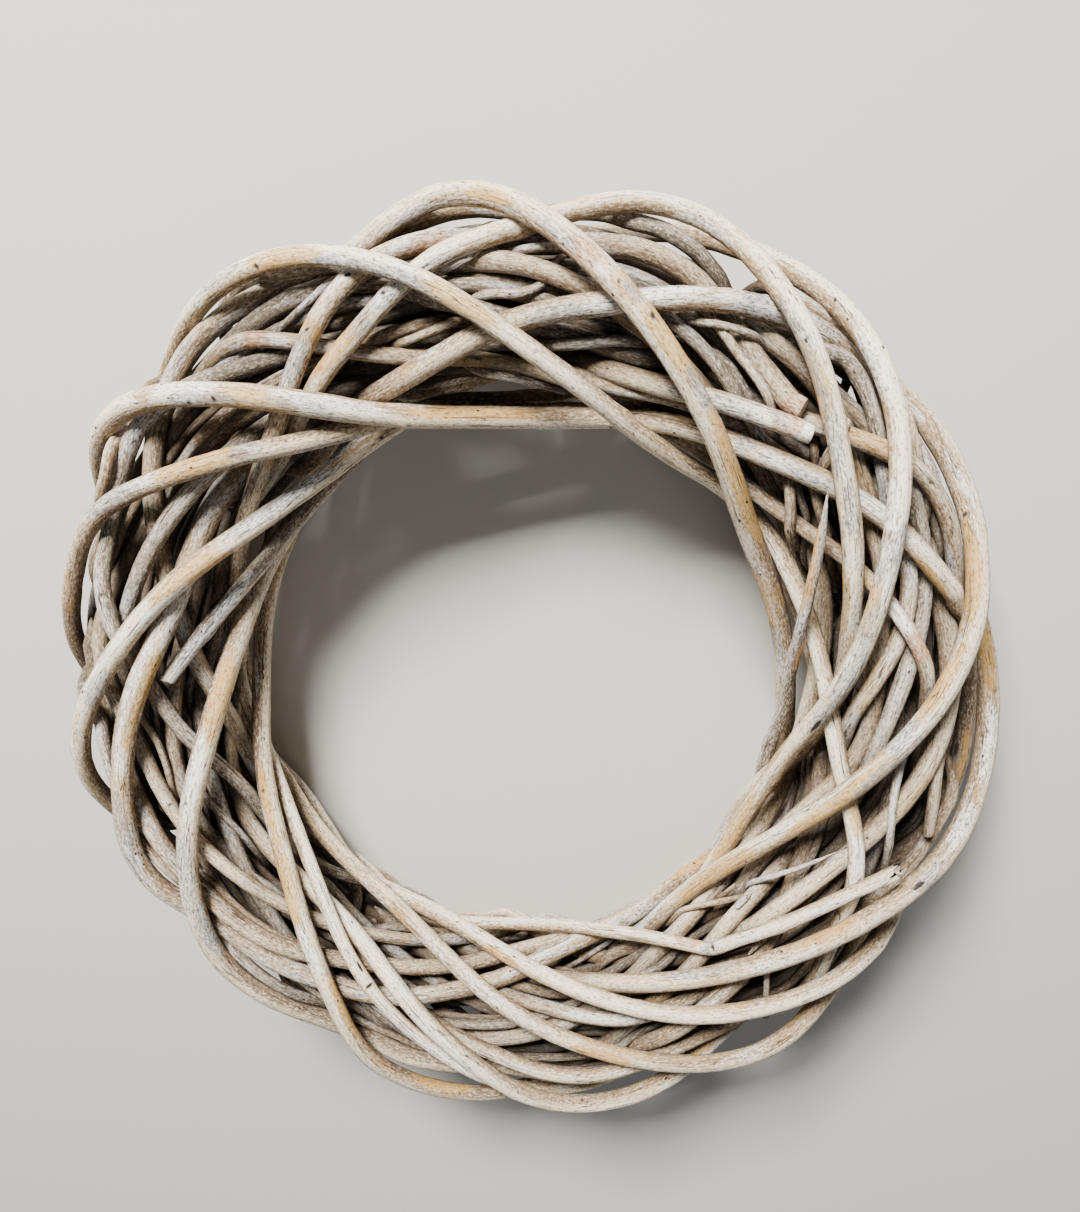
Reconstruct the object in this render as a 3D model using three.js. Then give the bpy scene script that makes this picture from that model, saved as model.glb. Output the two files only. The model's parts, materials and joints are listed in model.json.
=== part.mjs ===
// A wreath of stripped, whitewashed willow rods, bent and woven into a thick open ring.
// It lies flat: the ring's axis is +Z, its back rests on z = 0 and the side it is looked at from faces up.
// Lengths are in millimetres, angles in degrees.
import * as THREE from 'three';

// Ring: the tube of rods is an upright oval swept round a circle.
const RING_RADIUS = 180;
const TUBE_HALF_WIDTH = 48;
const TUBE_HALF_HEIGHT = 53;

// Mesh detail.
const STEP = 22;
const SIDES = 6;
const SIDES_THICK = 7;
const THICK_FROM = 9.2;

// Room kept between any two rods, measured between their round outlines.
const GAP = 0.34;
const GAP_ACCEPTED = 0.31;
const LEAST_GAP = 0.2;

// A rod whose underside is this close to the floor is set down on it, so that it has a flat rest.
const SET_DOWN = 0.6;

// Settling: how the woven rods push one another aside until none overlap.
const SETTLE_ROUNDS = 900;
const SWELL_ROUNDS = 450;
const FIRST_SWELL = 0.3;
const SEARCH_EVERY = 8;
const SEARCH_MARGIN = 9;
const FINAL_ROUNDS = 600;
const THICKEST_ROD = 14;

// How strongly a rod is drawn to its route, springs back to its own curve and keeps its length, as shares
// of the error put right in a round. The pull home fades out and the spring slackens towards the end.
const HOME_PULL = 0.03;
const SPRING = 0.35;
const SPRING_SLACKENS = 0.6;
const FINAL_SPRING = 0.04;
const LENGTH_SHARE = 0.25;

// Laying a rod out: samples used to measure its curve, its fewest links, and the smoothing steps that even
// out the wobbles of a route read by hand without shrinking its bends.
const CURVE_SAMPLES = 600;
const FEWEST_LINKS = 4;
const SMOOTHING = [0.5, -0.53, 0.5, -0.53];

// Lengths below this count as nothing.
const TINY = 1e-7;

// A rod's route is a list of [angle round the ring, angle round the tube, depth].
// Round the ring, 0 is +X and 90 is +Y. Round the tube, 0 is the outer side, 90 the top, 180 the hole side
// and 270 the underside. Depth is how far the rod's outer face lies under the tube's oval.
const rod = (name, thickness, thinEnd, route) => ({ name, thickness, thinEnd, route });

const RODS = [
  rod('rod_inner_edge_s_curve', 8.6, 8.0, [
    [186, -98, 0], [172, -74, 0], [158, -50, 0], [144, -28, 2], [132, -4, 3], [126, 13, 1], [121, 25, 0],
    [115, 36, -1], [112, 42, -1], [105, 57, 0], [100, 70, 0], [94.5, 82, 0], [90, 96, 0], [85, 108, 0],
    [79.5, 118, 0], [74.5, 128, 0], [68, 142, 0], [62, 153, 1], [56, 164, 1], [50, 172, 3], [45, 176, 5],
    [40, 175, 5], [35, 168, 4], [30, 161, 3], [25, 156, 1], [20, 153, 6], [15.5, 149, 3], [11, 146, 3],
    [7, 143, 8], [3, 138, 8], [-1, 133, 2], [-5.5, 127, 1], [-11, 118, 8], [-14, 114, 10], [-16.5, 108, 4],
    [-19, 103, 0], [-21.5, 97, 0], [-24, 92, 0], [-28.5, 86, 6], [-32, 80, 12], [-38, 62, 12], [-45, 35, 8],
    [-52, 5, 4],
  ]),
  rod('rod_top_bow', 8.2, 10.6, [
    [226, 258, 0], [215, 238, 1], [205, 217, 4], [197, 199, 6], [190, 184, 5], [183, 171, 3], [178, 158, 2],
    [174, 150, 2], [168, 137, 5], [161.5, 125, 6], [158, 117, 10], [155, 108, 9], [152, 98, 6],
    [148, 88, 10], [144, 76, 9], [141, 64, 7], [137, 47, 8], [134, 32, 9], [131, 22, 5], [128, 18, 4],
    [124, 18, 5], [120, 20, 7], [115, 26, 9], [110.5, 33, 10], [107.5, 38, 11], [105.5, 38, 9], [103, 34, 4],
    [100, 28, 0], [96, 25, -1], [91, 33, -1], [87, 42, -0.5], [83, 54, 0], [79, 65, 0.5], [74, 78, 0.5],
    [70.5, 87, 0], [66, 95, 0], [62.5, 104, 0], [57, 116, 0], [52, 124, 0], [46, 138, 0], [42, 148, 0],
    [37, 156, 0], [30.5, 166, 0], [25, 173, -1], [17, 181, -2], [11, 186, -3], [3, 192, -4], [-6, 202, -4],
    [-16, 218, -2], [-26, 238, 0], [-36, 262, 0],
  ]),
  rod('rod_left_to_right_bow', 11.0, 8.8, [
    [198, -104, 0], [185, -80, 2], [172, -55, 4], [160, -32, 5], [151, -12, 4], [148, 6, 4], [143.5, 25, 3],
    [138.5, 40, 1.5], [134, 55, 0], [129.5, 72, 0], [125, 87, 0], [121, 97, 0], [117.5, 108, 0],
    [112.5, 125, 0], [107, 138, 0], [102, 147, 0], [99, 151, 0], [91, 156, 0], [84, 160, 0], [76, 165, 5],
    [70, 163, 10], [66, 152, 9], [63, 138, 6], [60, 132, 7], [56, 130, 9], [53, 125, 8], [50, 119, 3],
    [46.5, 113, 1], [43, 108, 2], [40, 103, 8], [35.5, 94, 3], [33, 89, 8], [30, 84, 6], [28, 81, 1],
    [23.5, 74, 0], [19.5, 66, 0], [17.5, 62, 0.5],
  ]),
  rod('rod_left_hook', 8.8, 8.4, [
    [62, 226, 0], [76, 208, 0], [88, 190, 2], [99, 166, 8], [106, 150, 11], [110.5, 142, 8], [116, 131, 2],
    [122.5, 118, 0], [129, 107, 0], [135.5, 95, 0], [140.5, 85, 0], [146, 71, 0], [150, 60, 2],
    [153.5, 52, 4], [158, 45, 6], [162, 39, 7], [166, 30, 7], [170, 15, 7], [176, -8, 7], [184, -38, 5],
    [194, -68, 0], [206, -95, 0],
  ]),
  rod('rod_left_bright', 8.6, 9.6, [
    [76, 222, 0], [86, 205, 0], [95, 188, 4], [101, 178, 8], [107, 170, 8], [113, 163, 2], [121, 158, 0],
    [128, 155, 0], [134.5, 150, 0], [141, 140, 0], [147, 127, 0], [153.5, 115, 0], [160, 103, 0],
    [167, 90, 0], [172, 78, 0], [177, 66, 0], [180.5, 58, 0], [185, 45, 0], [190, 30, 2], [195, 12, 6],
    [201, -10, 6], [209, -36, 0], [219, -62, 0], [230, -88, 0],
  ]),
  rod('rod_left_thick', 11.0, 9.4, [
    [112, 152, 16], [120, 143, 16], [128, 132, 13], [135, 124, 11], [140.5, 121, 9], [146, 121, 10],
    [151, 121, 6], [155.5, 119, 1], [161.5, 114, 0], [167, 107, 0], [172.5, 101, 0], [178, 94, 0],
    [184, 88, 0], [191, 80, 0], [195.5, 73, 0], [199, 69, 0], [204, 69, 0], [207.5, 71, 2], [210, 74, 7],
    [213, 79, 11], [216, 84, 8], [218, 87, 3], [222, 90, 2], [228, 96, 2], [231.5, 98, 6], [234.5, 101, 9],
    [238, 104, 4], [242, 107, 3], [245, 110, 6], [247.5, 113, 10], [250, 119, 8], [251.5, 122, 3],
    [255.5, 130, 2], [259.5, 136, 7], [262, 140, 8], [264, 143, 4], [267, 146, 6], [269.5, 149, 9],
    [272, 153, 8], [274.5, 157, 4], [280, 165, 2], [284, 169, 4], [287, 172, 9], [292, 176, 10],
    [300, 186, 8], [310, 202, 2], [322, 222, 0],
  ]),
  rod('rod_top_second_bow', 7.4, 10.2, [
    [158, 166, 13], [148, 154, 13], [140, 143, 12], [131, 135, 8], [124.5, 125, 5], [121, 115, 8],
    [118, 108, 10], [115.5, 102, 6], [112, 98, 3], [107.5, 92, 3], [104, 84, 3], [102, 77, 5], [99.8, 72, 9],
    [97.8, 67, 6], [94, 61, 3], [91, 57, 3], [88, 52, 8], [86, 46, 10], [83, 37, 8], [80, 28, 2],
    [75, 19, 0], [70, 17, -1], [65, 27, -1], [60, 44, 0], [55, 56, 0], [50, 68, 0], [45, 84, 0], [39, 94, 0],
    [34, 103, 0], [28.5, 112, 0], [23, 119, 0], [17.5, 129, 1], [12, 139, 6], [6, 147, 9], [-3, 157, 8],
    [-13, 174, 4], [-25, 197, 0], [-37, 220, 0], [-50, 245, 0],
  ]),
  rod('rod_top_third_bow', 7.6, 8.6, [
    [158, 182, 10], [150, 167, 11], [144, 152, 11], [139, 143, 9], [134, 132, 8], [128, 121, 4],
    [123, 108, 6], [120, 103, 10], [117, 97, 8], [114.5, 90, 4], [111.5, 78, 3], [108.5, 68, 3],
    [106.5, 62, 6], [104.5, 60, 9], [102, 58, 6], [99, 54, 3], [96.5, 49, 2], [93, 47, 6], [90, 46, 10],
    [86, 45, 10], [82, 45, 8], [79.5, 45, 6], [74.5, 45, 2], [70, 47, 2], [67, 50, 3], [64, 55, 8],
    [62, 65, 11], [59, 76, 8], [55, 84, 6], [52.5, 89, 5], [50, 94, 5],
  ]),
  rod('rod_top_cross', 10.0, 9.0, [
    [126, 170, 10], [119, 156, 12], [112, 141, 10], [107, 130, 3], [103, 124, 1], [99, 117, 0], [92, 108, 2],
    [89, 103, 8], [85, 97, 6], [82, 94, 2], [78, 88, 3], [75, 83, 7], [72, 78, 6], [68, 71, 2], [64, 63, 2],
    [60, 53, 4], [57, 45, 8], [54, 38, 7], [51, 31, 5], [48, 24, 6], [45, 17, 9], [40, 6, 14], [33, -12, 18],
    [24, -32, 14],
  ]),
  rod('rod_right_long', 9.4, 9.0, [
    [99, -80, 0], [90, -60, 0], [81, -40, 0], [73, -22, 0], [67, -8, 0], [61, 4, 0], [55, 15, -1],
    [50, 26, -1], [45, 39, 0], [41, 50, 1], [38, 60, 2], [34.5, 71, 2], [31, 81, 2], [27, 90, 1],
    [24, 97, 0], [20, 105, 0], [15, 113, 0], [10, 121, 0], [5, 131, 0], [0, 141, 0], [-5, 152, 0],
    [-13, 164, 0], [-20, 172, 0], [-28, 179, 0], [-37, 183, 1], [-48, 188, 5], [-57, 193, 10],
    [-68, 206, 12], [-80, 224, 9], [-92, 246, 3], [-104, 264, 0],
  ]),
  rod('rod_right_outer', 10.4, 9.4, [
    [76, -110, 0], [68, -88, 0], [60, -66, 0], [53, -44, 3], [46, -22, 6], [40, 0, 4], [34, 16, 1],
    [28, 28, 0], [20, 43, 0], [15, 55, 0], [10, 66, 0], [6, 75, 0], [3, 84, 0], [0, 94, 0], [-5, 105, 0],
    [-10, 116, 0], [-14, 125, 0], [-19, 135, 0], [-25, 144, 0], [-31, 152, 0], [-38, 161, 0], [-46, 169, 0],
    [-54, 175, 3], [-61, 180, 8], [-69, 190, 14], [-79, 206, 16], [-90, 228, 10], [-100, 250, 0],
  ]),
  rod('rod_lower_right_thick', 11.8, 9.6, [
    [50, -100, 0], [40, -76, 0], [31, -52, 0], [22, -28, 4], [14, -9, 6], [8, -1, 3], [0, 5, 0],
    [-5, 10, -1], [-10, 18, -1], [-15, 33, 0], [-20, 54, 0], [-25, 72, 0], [-30, 84, 0], [-35, 92, 0],
    [-40, 100, 0], [-50, 113, 0], [-60, 123, 0], [-70, 133, 2], [-75, 141, 6], [-80, 147, 10],
    [-85, 154, 12], [-93, 168, 12], [-103, 189, 10], [-115, 213, 7], [-127, 236, 3], [-138, 258, 0],
  ]),
  rod('rod_bottom_bright', 9.8, 8.8, [
    [26, -72, 0], [15, -50, 0], [4, -28, 4], [-8, -8, 9], [-18, 6, 11], [-25, 20, 10], [-30, 32, 3],
    [-36, 45, 0], [-40, 54, 0], [-47, 72, 0], [-54, 87, 0], [-60, 98, 0], [-65, 107, 0], [-70, 117, 0],
    [-75, 126, 0], [-80, 135, 0], [-85, 143, 0], [-90, 151, 0], [-95, 160, 0], [-100, 168, 0], [-105, 175, 0],
    [-110, 180, 0], [-115, 184, 0], [-120, 187, 1], [-128, 191, 6], [-137, 198, 7], [-148, 215, 0],
    [-160, 240, 0], [-172, 264, 0],
  ]),
  rod('rod_bottom_outer', 9.8, 8.8, [
    [-8, -58, 0], [-18, -38, 0], [-28, -16, 6], [-37, 6, 9], [-43, 26, 8], [-47.5, 37, 4], [-51, 42, -2],
    [-55, 45, -3], [-60, 50, -3], [-65, 60, -1], [-70, 74, 0], [-75, 86, 0], [-80, 97, 0], [-85, 107, 0],
    [-90, 116, 0], [-95, 125, 0], [-100, 135, 0], [-105, 145, 0], [-110, 154, 0], [-115, 163, 0],
    [-120, 169, 0], [-125, 175, 0], [-130, 179, 0], [-138, 186, 1], [-148, 197, 5], [-158, 214, 2],
    [-168, 236, 0], [-179, 258, 0],
  ]),
  rod('rod_left_inner_to_bottom', 11.4, 8.8, [
    [110, 236, 0], [122, 217, 0], [132, 202, 0], [142, 189, 2], [150, 179, 3], [155, 171, 1], [160, 166, 0],
    [165, 160, 0], [170, 153, 0], [175, 147, 0], [180, 140, 0], [185, 132, 0], [190, 122, 0], [195, 112, 0],
    [200, 103, 0], [205, 95, 0], [208, 89, 0], [212, 80, 0.5], [217, 71, 1], [222, 64, 2], [227, 60, 3],
    [232, 58, 4], [236, 59, 7], [240, 60, 11], [244, 60, 9], [248, 63, 5], [252, 64, 4], [256, 65, 4],
    [260, 66, 7], [263, 67, 11], [267, 67, 11], [270, 65, 7], [275, 62, 5], [280, 59, 5], [285, 56, 6],
    [289, 55, 9], [294, 50, 12], [302, 38, 14], [312, 20, 14],
  ]),
  rod('rod_left_vertical', 9.6, 9.0, [
    [122, 240, 0], [134, 222, 0], [145, 208, -1], [155, 198, -2], [163, 192, -4], [172, 188, -5],
    [180, 184, -5], [190, 174, -2], [200, 164, 0], [207, 156, 0], [212, 148, 0], [218, 138, 0],
    [223, 128, 0], [228, 118, 0], [233, 107, 0], [238, 94, 0], [241, 81, 0], [245, 64, 0], [250, 49, -1],
    [255, 39, -3], [260, 32, -4], [266, 28, -2], [272, 26, 5], [280, 16, 9], [290, -8, 6], [300, -35, 0],
    [310, -60, 0],
  ]),
  rod('rod_bottom_long', 8.6, 10.2, [
    [164, 222, 0], [175, 202, 3], [184, 189, 6], [192, 178, 10], [199, 166, 11], [204, 159, 9],
    [207.5, 155, 4], [214.5, 151, 3], [219, 151, 4], [223, 151, 3], [226, 149, 4], [230, 146, 3],
    [236.5, 137, 2], [240.5, 129, 1], [247, 117, 0], [253, 104, 0], [257, 95, 0], [261, 86, 0], [265, 70, 0],
    [270.5, 53, -5], [277, 48, -8], [283, 47, -8], [289, 44, -6], [294, 40, 0], [299, 33, 8], [306, 18, 10],
    [316, -8, 4], [327, -36, 0],
  ]),
  rod('rod_lower_left_bright_thin', 7.2, 6.6, [
    [150, 222, 0], [160, 208, 4], [169, 197, 9], [177, 190, 10], [183, 186, 4], [190, 182, 0], [200, 176, 0],
    [207, 169, 0], [213, 162, 0], [220, 152, 0], [227, 140, 0], [234, 128, 0], [240, 118, 2], [245, 110, 8],
    [250, 100, 8], [257, 86, 9], [265, 62, 10], [275, 32, 8], [286, -2, 4], [298, -35, 0],
  ]),
  rod('rod_hole_bottom', 7.6, 7.0, [
    [226, 214, 2], [234, 204, 6], [242, 195, 10], [250, 188, 8], [255, 184, 4], [260, 181, 0], [270, 181, 0],
    [280, 176, 0], [290, 164, 0], [297, 156, 0], [302, 149, 3], [307, 142, 6], [312, 134, 4], [316, 127, 2],
    [320, 120, 2], [325, 113, 2], [330, 105, 2], [334, 97, 7], [338, 88, 2],
  ]),
  rod('rod_lower_right_cross_a', 9.0, 8.6, [
    [380, 208, 2], [370, 194, 8], [360, 181, 13], [352, 168, 13], [347, 157, 12], [343, 151, 9],
    [336, 150, 8], [328, 147, 11], [323, 139, 4], [319, 132, 6], [315, 127, 12], [310, 115, 14],
    [305, 107, 9], [301, 103, 9], [297, 95, 9], [293, 84, 5], [289, 70, 10], [284, 45, 12], [277, 15, 8],
    [268, -15, 4],
  ]),
  rod('rod_lower_right_cross_b', 8.4, 8.0, [
    [350, 205, 6], [341, 188, 12], [332, 170, 11], [326, 159, 9], [320, 150, 7], [314, 142, 5],
    [309.5, 132, 9], [305, 121, 15], [299, 107, 18], [292, 90, 16], [286, 68, 14], [279, 40, 11],
    [271, 8, 6], [262, -22, 2],
  ]),
  rod('rod_bottom_cross', 9.0, 9.2, [
    [390, 150, 18], [380, 156, 14], [370, 163, 9], [362, 170, 6], [354, 178, 5], [346, 186, 4],
    [339, 191, 5], [331, 190, 6], [325, 184, 8], [316, 172, 6], [310, 164, 4], [306, 160, 3],
    [301.5, 157, 8], [297, 151, 9], [294, 146, 6], [290.5, 142, 10], [287, 135, 14], [284, 128, 9],
    [281, 122, 6], [276, 113, 8], [274, 109, 6], [270, 105, 4], [267, 101, 4], [264, 97, 6], [260, 90, 9],
    [255, 75, 12], [249, 50, 12], [242, 22, 9], [234, -5, 4], [225, -32, 0],
  ]),
  rod('rod_bottom_inner_long', 8.4, 7.0, [
    [234, 190, 12], [242, 180, 14], [250, 169, 14], [258, 155, 12], [267, 141, 10], [272, 135, 9],
    [278, 126, 10], [282.5, 117, 6], [287, 110, 6], [292, 104, 7], [297, 100, 9], [304, 101, 11],
    [309, 99, 11], [313, 94, 10], [318, 89, 10], [323, 82, 11], [330, 65, 12], [338, 42, 12], [347, 18, 10],
  ]),
  rod('rod_bottom_inner_low', 8.4, 8.0, [
    [222, 163, 14], [230, 152, 13], [237, 141, 11], [243, 129, 11], [248, 120, 10], [253, 113, 5],
    [258, 108, 4], [262, 102, 6], [264.5, 98, 10], [267, 93, 9], [269.5, 88, 5], [275, 81, 3], [280, 77, 3],
    [284, 74, 4], [288, 70, 9], [294, 60, 13], [302, 42, 14], [311, 22, 12],
  ]),
  rod('rod_bottom_inner_thin', 7.0, 6.4, [
    [224, 176, 16], [232, 163, 15], [240, 151, 13], [248, 140, 12], [257, 128, 10], [263, 118, 11],
    [269, 110, 12], [275, 102, 14], [282, 92, 15], [290, 78, 17], [300, 58, 18], [311, 35, 16],
  ]),
  rod('rod_left_crossing_a', 8.4, 7.0, [
    [96, 98, 18], [104, 86, 18], [112, 75, 16], [119, 66, 14], [125, 60, 11], [129.5, 55, 7], [134.5, 48, 7],
    [139.5, 44, 7], [145, 44, 12], [149, 48, 16], [153, 57, 14], [156.5, 66, 8], [160.5, 76, 3],
    [163, 85, 5], [166, 93, 10], [169, 100, 14], [172, 107, 12], [175, 112, 5], [179, 119, 4], [182, 124, 6],
    [184.5, 129, 10], [187.5, 136, 5], [191, 143, 3], [195, 150, 4], [199, 157, 9], [204, 163, 10],
    [210, 170, 12], [217, 180, 12], [226, 196, 10], [237, 222, 3], [246, 246, 0],
  ]),
  rod('rod_left_crossing_b', 7.4, 7.0, [
    [120, 108, 17], [128, 92, 15], [134, 82, 12], [140, 72, 11], [145.5, 62, 14], [150.5, 57, 17],
    [155.5, 56, 15], [159, 58, 12], [162.5, 60, 9], [166.5, 64, 6], [170.5, 72, 4], [173.5, 79, 9],
    [176, 84, 9], [178, 87, 6], [181, 91, 10], [184, 94, 10], [187, 97, 4], [190, 101, 4], [193, 103, 4],
    [196, 105, 6], [199, 108, 10], [202, 112, 5], [206.5, 118, 3], [211, 124, 4], [214, 128, 8],
    [217, 132, 10], [220, 136, 5], [223, 140, 5], [226, 143, 9], [229, 146, 9], [233, 150, 5], [237, 153, 4],
    [240, 157, 6], [244, 163, 10], [248, 169, 11], [254, 178, 12], [262, 194, 11], [272, 216, 6],
    [283, 240, 0],
  ]),
  rod('rod_left_crossing_c', 9.2, 8.4, [
    [166, 32, 14], [172, 44, 14], [178, 55, 14], [184, 65, 12], [190, 73, 9], [195, 79, 4], [198.5, 82, 3],
    [203.5, 86, 3], [207, 88, 5], [209.5, 90, 10], [212, 93, 4], [216, 97, 2], [221.5, 104, 2],
    [225, 109, 4], [227.5, 113, 9], [230, 117, 4], [233.5, 123, 4], [236, 126, 9], [239, 130, 10],
    [241.5, 134, 4], [246, 138, 3], [249.5, 141, 5], [252, 145, 9], [255, 149, 8], [258, 153, 5],
    [260.5, 155, 5], [263, 157, 8], [266, 160, 10], [270, 164, 5], [275, 169, 6], [280, 174, 11],
    [286, 182, 14], [294, 194, 14],
  ]),
  rod('rod_left_grey_cut', 7.6, 7.0, [
    [104, 240, 0], [114, 220, 0], [122, 206, 0], [130, 194, 1], [137, 183, 1], [143, 173, 1], [148.5, 164, 1],
    [154.5, 153, 2], [161, 141, 3], [164, 134, 4], [167, 127, 4], [169.5, 121, 4], [171.5, 116, 4],
  ]),
  rod('rod_left_shadowed', 8.0, 7.4, [
    [108, 148, 17], [115, 136, 17], [122, 125, 14], [130.5, 113, 9], [136.5, 108, 5], [141, 105, 5],
    [144, 102, 7], [147.5, 99, 12], [150, 97, 9], [152.5, 95, 5], [157, 91, 6], [159.5, 89, 10],
    [162.5, 85, 9], [165, 82, 7], [168, 79, 8], [171, 76, 11], [176, 71, 14], [184, 60, 16], [193, 47, 16],
  ]),
  rod('rod_left_upright_a', 7.8, 6.6, [
    [154, 149, 18], [160, 141, 16], [166, 134, 12], [171, 129, 8], [177, 125, 8], [180, 122, 10],
    [184, 119, 6], [189, 116, 6], [193, 117, 6], [197, 119, 11], [201, 121, 10], [206, 125, 13],
    [213, 132, 16], [222, 140, 18], [232, 150, 18],
  ]),
  rod('rod_left_upright_b', 7.8, 6.8, [
    [164, 174, 14], [172, 161, 14], [178, 152, 12], [182, 147, 9], [187, 145, 6], [193, 141, 6],
    [200, 137, 5], [206, 133, 6], [210, 130, 9], [215, 126, 7], [219, 121, 8], [223, 115, 11],
    [228, 107, 14], [236, 93, 16], [245, 74, 18],
  ]),
  rod('rod_upper_right_cut_a', 8.6, 8.2, [
    [92, 172, 18], [85, 162, 17], [79, 150, 14], [74, 140, 9], [70, 132, 5], [65, 125, 5], [61, 118, 8],
    [58, 111, 6], [55, 104, 4], [52, 97, 2], [49.5, 90, 1], [46, 82, 1],
  ]),
  rod('rod_upper_right_cut_b', 8.2, 7.6, [
    [56, 104, 18], [50, 95, 14], [46, 86, 9], [43.5, 79, 4], [41, 72, 3], [38.5, 66, 7], [36, 59, 3],
    [33, 51, 4], [30, 45, 6], [27, 40, 9], [23.5, 38, 12], [20, 37, 14], [15, 33, 18], [8, 28, 20],
  ]),
  rod('rod_right_pale_thin', 6.4, 6.2, [
    [66, 182, 6], [58, 172, 8], [52, 164, 8], [47, 158, 5], [44, 155, 6], [41, 152, 3], [37, 147, 3],
    [34, 142, 6], [31, 136, 10], [28, 129, 11], [24, 119, 9], [21, 112, 9], [18, 104, 2], [15.5, 98.5, 1],
    [12, 91, 1], [9.5, 84, 3], [6, 77, 9], [0, 66, 14], [-8, 48, 17], [-14, 32, 15], [-18, 25, 12],
    [-22, 24, 12], [-28, 32, 14], [-34, 44, 15],
  ]),
  rod('rod_right_tapered_tip', 8.6, 4.2, [
    [-34, 222, 0], [-27, 208, -2], [-19, 197, -5], [-10, 188, -6], [-2, 180, -4], [5, 171, -2],
    [12, 160, -1], [17, 149, 0], [22, 136, 0], [28, 119, 2], [33, 110, 3], [38.5, 102, 3],
  ]),
  rod('rod_right_curved_grey', 7.8, 8.0, [
    [48, 58, 16], [42, 58, 12], [38, 56, 9], [35, 53, 8], [31, 50, 9], [27.5, 51, 10], [24, 56, 11],
    [20, 63, 11], [17, 72, 9], [14, 84, 6], [10, 95, 4], [5, 105, 4], [0, 114, 3], [-5, 121, 4],
    [-9, 126, 8], [-15, 133, 13], [-22, 142, 16], [-30, 151, 16], [-39, 161, 14],
  ]),
  rod('rod_right_ochre', 8.4, 9.0, [
    [74, 52, 16], [66, 57, 13], [58, 60, 9], [54, 61, 6], [50, 63, 4], [46.5, 63, 4], [42, 66, 5],
    [40, 69, 8], [37, 72, 10], [34, 76, 11], [31, 80, 8], [27.5, 84, 6], [23, 90, 5], [18, 99, 5],
    [15, 107, 5], [12, 114, 6], [9, 119, 8], [3, 126, 9], [-2, 129, 9], [-9, 133, 9], [-14, 142, 8],
    [-18, 149, 9], [-24, 157, 8], [-30, 165, 8], [-38, 173, 10], [-48, 182, 10], [-60, 195, 6],
  ]),
  rod('rod_right_pale_beside_ochre', 7.4, 7.0, [
    [32, 66, 17], [24, 78, 14], [17, 90, 10], [12, 99, 8], [8, 108, 5], [5, 115, 4], [0, 126, 3],
    [-4, 134, 6], [-8, 142, 9], [-14, 152, 14], [-20, 163, 18], [-30, 180, 18], [-42, 196, 12],
    [-54, 214, 4],
  ]),
  rod('rod_lower_right_mid', 9.8, 8.6, [
    [24, 48, 14], [15, 56, 12], [8, 63, 10], [2, 69, 8], [-3, 75, 6], [-8, 81, 5], [-15, 91, 4],
    [-19, 96, 6], [-24, 103, 10], [-28, 110, 4], [-33, 116, 3], [-38, 121, 4], [-43, 127, 9], [-50, 137, 13],
    [-60, 152, 15], [-70, 167, 14], [-82, 184, 10], [-94, 204, 2],
  ]),
  rod('rod_right_behind_bow', 9.2, 8.6, [
    [30, 52, 18], [22, 36, 15], [14, 24, 12], [8, 19, 10], [3, 16, 9], [-2, 13, 7], [-6, 11, 5.5],
    [-10, 10, 5], [-15, 10, 5.5], [-19, 20, 9], [-23, 40, 15], [-28, 58, 18], [-38, 80, 20],
  ]),
  rod('rod_right_upright_grey', 8.2, 7.4, [
    [20, 132, 18], [11, 121, 17], [4, 112, 15], [-2, 106, 12], [-11, 98, 12], [-16, 92, 12], [-21, 86, 12],
    [-27, 75, 13], [-34, 56, 12], [-42, 32, 9], [-51, 6, 5],
  ]),
  rod('rod_top_left_inner_a', 7.0, 6.2, [
    [158, 30, 16], [148, 31, 15], [139, 34, 14], [132, 40, 12], [128, 46, 8], [124, 57, 6], [121, 70, 5],
    [118, 81, 7], [116, 88, 9], [113, 97, 9], [110, 104, 8], [105, 112, 5], [100, 119, 6], [96, 123, 9],
    [90, 126, 11], [85, 128, 9], [80, 133, 9], [76, 141, 10], [70, 152, 12], [62, 167, 12], [53, 184, 8],
  ]),
  rod('rod_top_left_inner_b', 9.0, 7.4, [
    [133, 18, 16], [128, 22, 15], [124, 27, 14], [121, 31, 13], [118, 35, 11], [115, 42, 9], [112, 48, 8],
    [109, 50, 8], [106, 53, 9], [103, 60, 10], [100, 70, 10], [97, 80, 9], [94, 87, 10], [90, 94, 13],
    [85, 103, 16], [78, 114, 19], [70, 124, 20],
  ]),
  rod('rod_top_inner_pale', 8.2, 7.6, [
    [108, 60, 18], [101, 60, 15], [95, 61, 10], [91, 64, 6], [86.5, 70, 4], [82, 77, 4], [77.5, 82, 8],
    [74, 86, 10], [71, 91, 6], [67.5, 97, 5], [65, 103, 5], [62, 110, 9], [57, 121, 13], [50, 135, 14],
    [42, 149, 14], [34, 163, 12], [25, 180, 8],
  ]),
  rod('rod_top_inner_grey', 7.8, 7.2, [
    [106, 88, 18], [98, 80, 16], [92, 71, 11], [88, 65, 7], [83, 60, 6], [80.5, 58, 9], [78, 57, 6],
    [74, 58, 4], [69, 61, 4], [66, 63, 6], [63, 67, 12], [58, 76, 16], [50, 89, 20], [42, 101, 20],
  ]),
  rod('rod_upper_right_thin', 5.8, 5.0, [
    [80, 60, 18], [72, 67, 15], [66.5, 76, 10], [63, 82, 9], [60, 90, 9], [57, 98, 9], [53, 107, 12],
    [48, 117, 13], [41, 131, 14],
  ]),
  rod('rod_back_a', 9.6, 8.6, [
    [8, 232, 0], [25, 244, 0], [45, 258, 0], [70, 274, 0], [95, 288, 0], [120, 292, 0], [145, 282, 0],
    [170, 272, 0], [195, 262, 0], [215, 256, 0], [235, 252, 0],
  ]),
  rod('rod_back_b', 9.8, 8.8, [
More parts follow.
